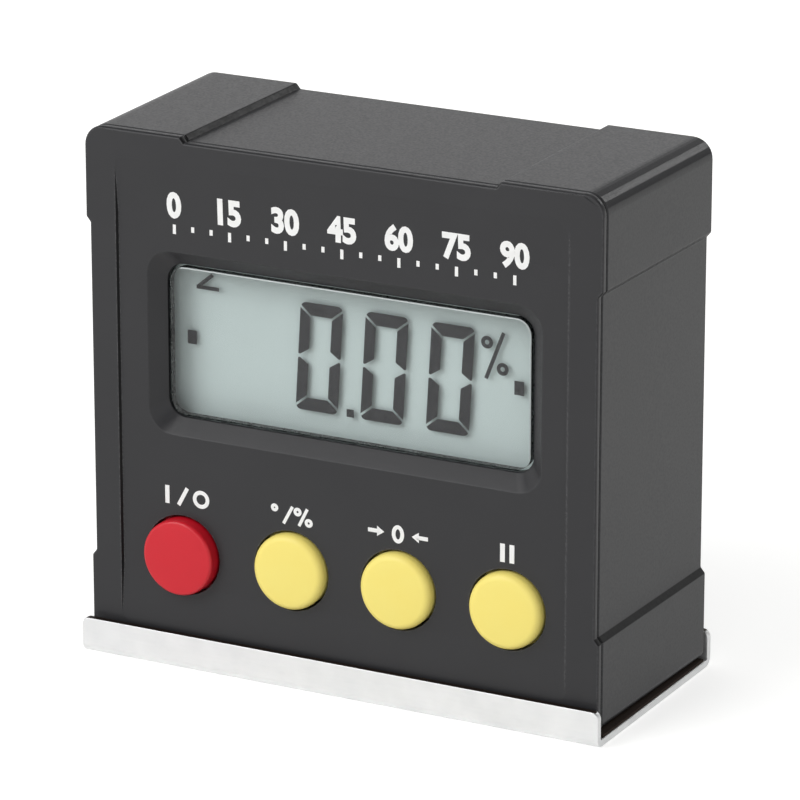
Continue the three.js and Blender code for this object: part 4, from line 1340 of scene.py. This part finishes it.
@dataclass
class Electronics:
    """Circuit board with its parts and solder joints, the key switches, and the display's frame."""

    joint_radius: float = 0.55
    joint_height: float = 0.35
    joint_segments: int = 12
    joint_rings: int = 6
    leg_across: float = 3.2
    leg_up: float = 2.2
    sink: float = 0.05

    def joint_places(self) -> list[Vector]:
        """Find the places of the solder joints on the back of the board.

        Returns:
            Four places for each switch, in metres.
        """
        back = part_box("main_board")[1].y - self.sink * MM
        places = []
        for key in KEYS:
            middle = centre_of(f"{key}_switch_body")
            for side in (-self.leg_across, self.leg_across):
                for end in (-self.leg_up, self.leg_up):
                    places.append(Vector((middle.x + side * MM, back, middle.z + end * MM)))
        return places

    def solder_joints(self, solder: bpy.types.Material) -> bpy.types.Mesh:
        """Make low domes of solder, one at each leg of a switch.

        Args:
            solder: Material that the tree sets.

        Returns:
            One mesh of closed domes.
        """
        graph = Graph("solder joints", {
            "Radius": ("NodeSocketFloat", self.joint_radius * MM),
            "Height": ("NodeSocketFloat", self.joint_height * MM)})
        ball = graph.add("GeometryNodeMeshUVSphere", {
            "Segments": self.joint_segments, "Rings": self.joint_rings, "Radius": 1.0})
        size = graph.add("ShaderNodeCombineXYZ", {
            "X": graph.given("Radius"), "Y": graph.given("Height"), "Z": graph.given("Radius")})
        dome = graph.add("GeometryNodeTransform", {"Geometry": ball.outputs[0], "Scale": size.outputs[0]})
        copies = graph.add("GeometryNodeInstanceOnPoints", {
            "Points": graph.given("Geometry"), "Instance": dome.outputs[0]})
        return graph.run(copies.outputs[0], solder, self.joint_places())

    def build(self) -> None:
        """Dress the board and what stands on it, and add the solder joints."""
        dress(BOARD_RESIST.build(), "main_board")
        dress(CHIP_EPOXY.build(), "processor")
        dress(SENSOR_LID.build(), "tilt_sensor", "timing_crystal")
        dress(SLEEVE_FILM.build(), "filter_capacitor")
        dress(FRAME_ABS.build(), "lcd_frame")
        dress(CONTACT_RUBBER.build(), "zebra_strip_upper", "zebra_strip_lower")
        nylon, plunger = SWITCH_NYLON.build(), PLUNGER_NYLON.build()
        for key in KEYS:
            dress(nylon, f"{key}_switch_body")
            dress(plunger, f"{key}_switch_plunger")
        add_piece("solder_joints", self.solder_joints(SOLDER.build()), Body.GAUGE)


@dataclass
class BatteryBay:
    """Two cells in their bay, with coil springs, contact plates and polarity signs on the sleeves."""

    radius: float = 5.25
    length: float = 44.5
    nub_radius: float = 1.9
    nub_length: float = 0.9
    nub_edge: float = 0.3
    rim: float = 0.5
    sleeve_rim: float = 4.3
    sleeve_proud: float = 0.04
    groove_side: float = 0.1
    groove_depth: float = 0.12
    groove_to_nub: float = 0.25
    end_margin: float = 0.05
    steps: int = 64
    turns: float = 3.5
    wide: float = 3.6
    narrow: float = 2.4
    spring_length: float = 3.0
    wire: float = 0.3
    wire_clear: float = 0.45
    coil_steps: int = 32
    wire_steps: int = 12
    sign_size: float = 3.0
    sign_stroke: float = 0.7
    sign_inset: float = 6.0
    sign_pieces: int = 6
    ink: float = 0.03
    sunk: float = 0.02

    def cell(self, row: Row, direction: int, sleeve: bpy.types.Material, can: bpy.types.Material) -> None:
        """Turn a cell with a shrunk sleeve over its can, in place of its CAD node.

        Args:
            row: Row that the cell lies in.
            direction: Way along X that its raised terminal points.
            sleeve: Finish of the sleeve.
            can: Finish of the bare ends.
        """
        node, piece = f"battery_{row.value}", f"cell_{row.value}"
        low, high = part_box(node)
        base = low.x if direction > 0 else high.x
        middle = (low + high) / 2
        shoulder = self.length - self.nub_length
        floor = shoulder - self.groove_depth
        side = self.radius - self.sleeve_proud
        profile = [(0, 0)]
        profile += rounded((0, 0), (side, 0), (side, self.length), self.rim)
        profile += [(self.radius, self.rim + self.sleeve_proud), (self.radius, shoulder - self.rim)]
        profile += rounded((self.radius, 0), (self.radius, shoulder), (0, shoulder), self.rim)[1:]
        profile += [(self.sleeve_rim, shoulder), (self.sleeve_rim - self.groove_side, floor),
                    (self.nub_radius + self.groove_to_nub, floor), (self.nub_radius, shoulder)]
        profile += rounded((self.nub_radius, shoulder), (self.nub_radius, self.length), (0, self.length),
                           self.nub_edge)
        profile += [(0, self.length)]
        centre = Vector((base, middle.y, middle.z))
        work = lathe(profile, self.steps, centre, Vector((direction, 0, 0)))
        for face in work.faces:
            place = face.calc_center_median()
            along = (place.x - base) * direction / MM
            away = Vector((place.y - middle.y, place.z - middle.z)).length / MM
            face.material_index = int(along < self.rim or away < self.sleeve_rim - self.end_margin)
        mesh = mesh_from(work, piece, TURNED_SMOOTH)
        add_piece(piece, mesh, Body.GAUGE, [sleeve, can], [node])

    def signs(self, row: Row, direction: int, ink: bpy.types.Material) -> None:
        """Print a plus and a minus round a cell's sleeve, on the side that the open bay shows.

        Args:
            row: Row that the cell lies in.
            direction: Way along X that the raised terminal points.
            ink: Finish of the print.
        """
        piece = f"polarity_{row.value}"
        middle = centre_of(f"battery_{row.value}")
        plus = direction * (self.length / 2 - self.sign_inset)
        share = self.sign_size / self.sign_pieces
        shapes: list[list[Point]] = []
        for centre, upright in ((plus, True), (-plus, False)):
            for i in range(self.sign_pieces):
                off = (i + 0.5) * share - self.sign_size / 2
                shapes.append(block_shape((centre + off, 0), share, self.sign_stroke))
                if upright:
                    shapes.append(block_shape((centre, off), self.sign_stroke, share))
        mesh = flat_plate(shapes, 0.0, 1.0, piece)
        for vertex in mesh.vertices:
            turn = vertex.co.z / (self.radius * MM)
            out = (self.radius + (self.ink if vertex.co.y > 0 else -self.sunk)) * MM
            vertex.co = Vector((middle.x + vertex.co.x, middle.y + out * math.cos(turn),
                                middle.z + out * math.sin(turn)))
        add_piece(piece, mesh, Body.GAUGE, [ink])

    def spring(self, row: Row, direction: int, steel: bpy.types.Material) -> None:
        """Wind a tapered contact spring in place of its CAD node.

        Args:
            row: Row that the spring lies in.
            direction: Way along X in which it presses.
            steel: Finish of the wire.
        """
        node = f"battery_spring_{row.value}"
        low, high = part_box(node)
        graph = Graph(f"coil {row.value}", {
            "Turns": ("NodeSocketFloat", self.turns),
            "Wide radius": ("NodeSocketFloat", self.wide * MM),
            "Narrow radius": ("NodeSocketFloat", self.narrow * MM),
            "Height": ("NodeSocketFloat", (self.spring_length - 2 * self.wire_clear) * MM),
            "Wire radius": ("NodeSocketFloat", self.wire * MM)})
        path = graph.add("GeometryNodeCurveSpiral", {
            "Resolution": self.coil_steps, "Rotations": graph.given("Turns"),
            "Start Radius": graph.given("Wide radius"), "End Radius": graph.given("Narrow radius"),
            "Height": graph.given("Height")})
        ring = graph.add("GeometryNodeCurvePrimitiveCircle", {
            "Resolution": self.wire_steps, "Radius": graph.given("Wire radius")})
        coil = graph.add("GeometryNodeCurveToMesh", {
            "Curve": path.outputs[0], "Profile Curve": ring.outputs[0], "Fill Caps": True})
        mesh = graph.run(coil.outputs[0], steel, [Vector()])
        middle = (low + high) / 2
        start = low.x if direction > 0 else high.x
        turned = Matrix.Rotation(math.radians(90 * direction), 4, "Y")
        place = Vector((start + direction * self.wire * MM, middle.y, middle.z))
        mesh.transform(Matrix.Translation(place) @ turned)
        add_piece(f"coil_{row.value}", mesh, Body.GAUGE, (), [node])

    def build(self, ink: bpy.types.Material) -> None:
        """Fill the bay.

        Args:
            ink: Finish of the polarity signs.
        """
        sleeve, can, steel = CELL_SLEEVE.build(), CELL_STEEL.build(), SPRING_STEEL.build()
        for row, direction in ((Row.LOWER, 1), (Row.UPPER, -1)):
            self.cell(row, direction, sleeve, can)
            self.signs(row, direction, ink)
            self.spring(row, direction, steel)
        dress(steel, "positive_contact", "negative_contact", "link_contact")


@dataclass(frozen=True)
class ScrewSize:
    """Sizes of a pan-head screw with a cross recess and a cut thread, and the name of its kind."""

    kind: str
    head_radius: float
    head_height: float
    shank_radius: float
    shank_length: float
    tip_length: float
    pitch: float
    tooth: float


@dataclass
class Fasteners:
    """Case and board screws with real threads, in place of the plain CAD ones."""

    case: ScrewSize = ScrewSize("case", 2.0, 1.5, 0.92, 9.0, 1.2, 0.8, 0.2)
    board: ScrewSize = ScrewSize("board", 1.6, 1.1, 0.66, 4.6, 0.8, 0.6, 0.15)
    count: int = 4
    tip_share: float = 0.25
    brim_share: float = 0.3
    dome_power: float = 0.6
    dome_steps: int = 7
    recess_radius: float = 1.0
    recess_width: float = 0.5
    recess_depth: float = 0.7
    recess_shares: tuple[float, float] = (0.55, 1.3)
    overrun: float = 0.5
    thread_steps: int = 16
    tooth_sides: int = 4
    thread_short: float = 1.0
    thread_start_share: float = 0.4
    steps: int = 32

    def blank(self, size: ScrewSize) -> bpy.types.Object:
        """Screw without its thread, about +Y, its head bearing at the origin.

        Args:
            size: Its sizes.

        Returns:
            Object that holds the blank; it isn't a piece and is removed after use.
        """
        head, top, brim = size.head_radius, size.head_height, self.brim_share * size.head_height
        profile = [(0, -size.shank_length), (self.tip_share * size.shank_radius, -size.shank_length),
                   (size.shank_radius, size.tip_length - size.shank_length), (size.shank_radius, 0),
                   (head, 0)]
        turns = [math.pi / 2 * i / self.dome_steps for i in range(self.dome_steps)]
        profile += [(head * math.cos(t) ** self.dome_power, brim + (top - brim) * math.sin(t)) for t in turns]
        profile += [(0, top)]
        mesh = mesh_from(lathe(profile, self.steps, Vector(), Vector((0, 1, 0))), "screw_blank")
        blank = bpy.data.objects.new("screw_blank", mesh)
        bpy.context.scene.collection.objects.link(blank)
        long, short = self.recess_radius, self.recess_width / 2
        for across, high in ((long, short), (short, long)):
            cutter = self.recess(across, high, top)
            cut = blank.modifiers.new("recess", "BOOLEAN")
            cut.operation = "DIFFERENCE"
            cut.solver = "EXACT"
            cut.object = cutter
        cutters = [modifier.object for modifier in blank.modifiers]
        cut_mesh = baked(blank)
        for cutter in cutters:
            bpy.data.objects.remove(cutter)
        made = bpy.data.objects.new("screw_cut", cut_mesh)
        bpy.context.scene.collection.objects.link(made)
        return made

    def recess(self, across: float, high: float, top: float) -> bpy.types.Object:
        """Tapered bar that cuts one arm of the cross.

        Args:
            across: Half its length along X at the top.
            high: Half its length along Z at the top.
            top: Height of the head.

        Returns:
            Cutting object.
        """
        work = bmesh.new()
        floor, above = top - self.recess_depth, top + self.overrun
        narrow, wide = self.recess_shares
        rings = [[work.verts.new((x * across * share * MM, depth * MM, z * high * share * MM))
                  for x, z in ((-1, -1), (1, -1), (1, 1), (-1, 1))]
                 for depth, share in ((floor, narrow), (above, wide))]
        work.faces.new(rings[0])
        work.faces.new(rings[1])
        for i in range(4):
            work.faces.new([rings[0][i], rings[0][(i + 1) % 4], rings[1][(i + 1) % 4], rings[1][i]])
        cutter = bpy.data.objects.new("recess_cutter", mesh_from(work, "recess_cutter", None))
        bpy.context.scene.collection.objects.link(cutter)
        return cutter

    def screws(self, size: ScrewSize, steel: bpy.types.Material) -> None:
        """Put a threaded screw at each CAD screw of one kind.

        Args:
            size: Sizes and kind of the screw.
            steel: Its finish.
        """
        nodes = [f"{size.kind}_screw_{i + 1}" for i in range(self.count)]
        places = []
        for node in nodes:
            low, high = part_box(node)
            bearing = high.y - size.head_height * MM
            places.append(Vector(((low.x + high.x) / 2, bearing, (low.z + high.z) / 2)))
        blank = self.blank(size)
        turns = (size.shank_length - size.tip_length) / size.pitch - self.thread_short
        graph = Graph(f"{size.kind} screws", {
            "Blank": ("NodeSocketObject", blank),
            "Pitch": ("NodeSocketFloat", size.pitch * MM),
            "Turns": ("NodeSocketFloat", turns),
            "Thread radius": ("NodeSocketFloat", size.shank_radius * MM),
            "Tooth": ("NodeSocketFloat", size.tooth * MM)})
        head = graph.add("GeometryNodeObjectInfo", {"Object": graph.given("Blank")})
        length = graph.add("ShaderNodeMath", {0: graph.given("Pitch"), 1: graph.given("Turns")},
                           operation="MULTIPLY")
        path = graph.add("GeometryNodeCurveSpiral", {
            "Resolution": self.thread_steps, "Rotations": graph.given("Turns"),
            "Start Radius": graph.given("Thread radius"), "End Radius": graph.given("Thread radius"),
            "Height": length.outputs[0]})
        tooth = graph.add("GeometryNodeCurvePrimitiveCircle", {
            "Resolution": self.tooth_sides, "Radius": graph.given("Tooth")})
        thread = graph.add("GeometryNodeCurveToMesh", {
            "Curve": path.outputs[0], "Profile Curve": tooth.outputs[0], "Fill Caps": True})
        turned = graph.add("GeometryNodeTransform", {
            "Geometry": thread.outputs[0], "Rotation": (math.radians(90), 0.0, 0.0),
            "Translation": (0.0, -self.thread_start_share * size.pitch * MM, 0.0)})
        whole = graph.add("GeometryNodeJoinGeometry", {0: head.outputs["Geometry"]})
        graph.tree.links.new(turned.outputs[0], whole.inputs[0])
        copies = graph.add("GeometryNodeInstanceOnPoints", {
            "Points": graph.given("Geometry"), "Instance": whole.outputs[0]})
        mesh = graph.run(copies.outputs[0], steel, places)
        bpy.data.objects.remove(blank)
        add_piece(f"{size.kind}_screws", mesh, Body.GAUGE, (), nodes)

    def build(self) -> None:
        """Drive every screw."""
        steel = SCREW_STEEL.build()
        self.screws(self.case, steel)
        self.screws(self.board, steel)


@dataclass(frozen=True)
class Softbox:
    """Square soft lamp that looks at the object. Sizes are metres, angles degrees round from the front."""

    name: str
    azimuth: float
    elevation: float
    distance: float
    size: float
    power: float

    def build(self, aim: Vector) -> None:
        """Hang the lamp.

        Args:
            aim: Point that it looks at.
        """
        lamp = bpy.data.lights.new(self.name, "AREA")
        lamp.shape = "SQUARE"
        lamp.size = self.size
        lamp.energy = self.power
        holder = bpy.data.objects.new(self.name, lamp)
        turn, rise = math.radians(self.azimuth), math.radians(self.elevation)
        away = Vector((math.sin(turn) * math.cos(rise), -math.cos(turn) * math.cos(rise), math.sin(rise)))
        holder.location = aim + away * self.distance
        holder.rotation_euler = away.to_track_quat("Z", "Y").to_euler()
        bpy.context.scene.collection.objects.link(holder)


@dataclass
class Studio:
    """Camera at the photograph's angle, a pale floor, a white surround and soft lamps."""

    camera_place: tuple[float, float, float] = (246.82, -469.42, 202.14)
    camera_turn: tuple[float, float, float] = (71.923, 0.0, 27.685)
    lens: float = 238.29
    sensor: float = 36.0
    aim: tuple[float, float, float] = (0.0, 0.0, 30.0)
    ambient: float = 0.45
    ceiling: float = 0.0
    backdrop_top: tuple[float, float] = (20.0, 30.0)
    flag: tuple[float, float] = (150.0, 5.0)
    flag_reach: tuple[float, float] = (11.0, 17.0)
    floor_size: float = 6.0
    floor_colour: str = "#E4E4E2"
    floor_lift: float = 0.55
    floor_mirrored: float = 0.38
    near: float = 0.01
    white: str = "#FFFFFF"
    lamps: tuple[Softbox, ...] = (
        Softbox("key softbox", -35.0, 38.0, 1.0, 0.7, 5.4),
        Softbox("front fill", 5.0, 8.0, 1.4, 1.0, 2.5),
        Softbox("right fill", 75.0, 25.0, 1.2, 0.8, 0.25),
        Softbox("top softbox", 180.0, 70.0, 1.0, 0.8, 1.0),
        Softbox("edge strip", 160.0, 26.0, 1.3, 0.2, 1.2),
    )

    def build(self) -> None:
        """Set the camera, floor, surround and lamps up."""
        scene = bpy.context.scene
        scene.view_settings.view_transform = "Standard"
        lens = bpy.data.cameras.new("camera")
        lens.lens = self.lens
        lens.sensor_width = self.sensor
        lens.clip_start = self.near
        camera = bpy.data.objects.new("camera", lens)
        camera.location = Vector(self.camera_place) * MM
        camera.rotation_euler = [math.radians(angle) for angle in self.camera_turn]
        scene.collection.objects.link(camera)
        scene.camera = camera
        self.surround(scene)
        self.floor(scene)
        for lamp in self.lamps:
            lamp.build(Vector(self.aim) * MM)

    def surround(self, scene: bpy.types.Scene) -> None:
        """Surround the object with white.

        The camera sees plain white. Reflections see a white backdrop with a dark ceiling and a black flag,
        and as a light the surround is dimmer.

        Args:
            scene: Scene whose world it is.
        """
        world = bpy.data.worlds.new("studio surround")
        world.use_nodes = True
        tree = world.node_tree
        tree.nodes.clear()
        ray = add_node(tree, "ShaderNodeLightPath")
        way = add_node(tree, "ShaderNodeTexCoord").outputs["Generated"]
        height = add_node(tree, "ShaderNodeSeparateXYZ", {0: way}).outputs["Z"]
        upper = add_node(tree, "ShaderNodeMapRange", {
            "Value": height, "From Min": math.sin(math.radians(self.backdrop_top[0])),
            "From Max": math.sin(math.radians(self.backdrop_top[1])), "To Min": 1.0, "To Max": self.ceiling})
        turn, rise = (math.radians(angle) for angle in self.flag)
        flag = (math.sin(turn) * math.cos(rise), -math.cos(turn) * math.cos(rise), math.sin(rise))
        near = add_node(tree, "ShaderNodeVectorMath", {0: way, 1: flag}, operation="DOT_PRODUCT")
        inner, outer = (math.cos(math.radians(angle)) for angle in self.flag_reach)
        open_sky = add_node(tree, "ShaderNodeMapRange", {
            "Value": near.outputs["Value"], "From Min": inner, "From Max": outer})
        backdrop = add_node(tree, "ShaderNodeMath", {0: upper.outputs[0], 1: open_sky.outputs[0]},
                            operation="MULTIPLY")
        seen = add_node(tree, "ShaderNodeMath", {
            0: ray.outputs["Is Camera Ray"], 1: ray.outputs["Is Transmission Ray"]}, operation="MAXIMUM")
        colour = srgb(self.white)
        light = add_node(tree, "ShaderNodeBackground", {"Color": colour, "Strength": self.ambient})
        mirrored = add_node(tree, "ShaderNodeBackground", {"Color": colour, "Strength": backdrop.outputs[0]})
        white = add_node(tree, "ShaderNodeBackground", {"Color": colour, "Strength": 1.0})
        glossy = add_node(tree, "ShaderNodeMixShader", {
            0: ray.outputs["Is Glossy Ray"], 1: light.outputs[0], 2: mirrored.outputs[0]})
        mixed = add_node(tree, "ShaderNodeMixShader", {
            0: seen.outputs[0], 1: glossy.outputs[0], 2: white.outputs[0]})
        add_node(tree, "ShaderNodeOutputWorld", {"Surface": mixed.outputs[0]})
        scene.world = world

    def floor(self, scene: bpy.types.Scene) -> None:
        """Pale floor that keeps the object's shadow.

        Args:
            scene: Scene that it goes into.
        """
        half = self.floor_size / 2
        mesh = bpy.data.meshes.new("floor")
        mesh.from_pydata([(-half, -half, 0), (half, -half, 0), (half, half, 0), (-half, half, 0)], [],
                         [(0, 1, 2, 3)])
        floor = bpy.data.objects.new("floor", mesh)
        # Matt painted board: it has no gloss, so all that shows on it is the soft shadow
        material = start_material("matt white studio floor")
        tree = material.node_tree
        ray = add_node(tree, "ShaderNodeLightPath")
        board = add_node(tree, "ShaderNodeBsdfDiffuse", {"Color": srgb(self.floor_colour)})
        seen = add_node(tree, "ShaderNodeMath", {
            0: ray.outputs["Is Camera Ray"], 1: self.floor_lift}, operation="MULTIPLY")
        lift = add_node(tree, "ShaderNodeMath", {
            0: ray.outputs["Is Glossy Ray"], 1: self.floor_mirrored, 2: seen.outputs[0]},
            operation="MULTIPLY_ADD")
        glow = add_node(tree, "ShaderNodeEmission", {"Color": srgb(self.white), "Strength": lift.outputs[0]})
        whole = add_node(tree, "ShaderNodeAddShader", {0: board.outputs[0], 1: glow.outputs[0]})
        add_node(tree, "ShaderNodeOutputMaterial", {"Surface": whole.outputs[0]})
        mesh.materials.append(material)
        scene.collection.objects.link(floor)


def main() -> None:
    """Build the studio and every sub-assembly in order."""
    Studio().build()
    print_ink = PRINT_INK.build()
    Printing().build(print_ink)
    Case().build(CASE_ABS.build(), SHADED_WALL_ABS.build())
    Display().build(DisplayFigures(), LENS_ACRYLIC.build(), PAINTED_LENS_HIGHLIGHT.build(), LENS_SIDE_PAINTED_DARK.build(),
                    CELL_GLASS.build(), CRYSTAL_INK.build())
    dress(REFLECTOR_FILM.build(), "lcd_reflector")
    dress(FOAM.build(), "lens_tape")
    red, yellow = RED_ABS.build(), YELLOW_ABS.build()
    KeyCap(edge=0.4).build("power_button", Body.POWER, Slot.RED_KEY, red)
    for node, body in (("unit_button", Body.UNIT), ("zero_button", Body.ZERO), ("hold_button", Body.HOLD)):
        KeyCap(edge=0.8).build(node, body, Slot.YELLOW_KEY, yellow)
    Base().build(CHANNEL_STEEL.build(), SHEARED_STEEL_WITH_REFLECTION.build(), PAD_FOAM.build(), FERRITE.build())
    Electronics().build()
    BatteryBay().build(print_ink)
    Fasteners().build()
    LOG.info("all pieces are in place")


if __name__ == "__main__":
    main()
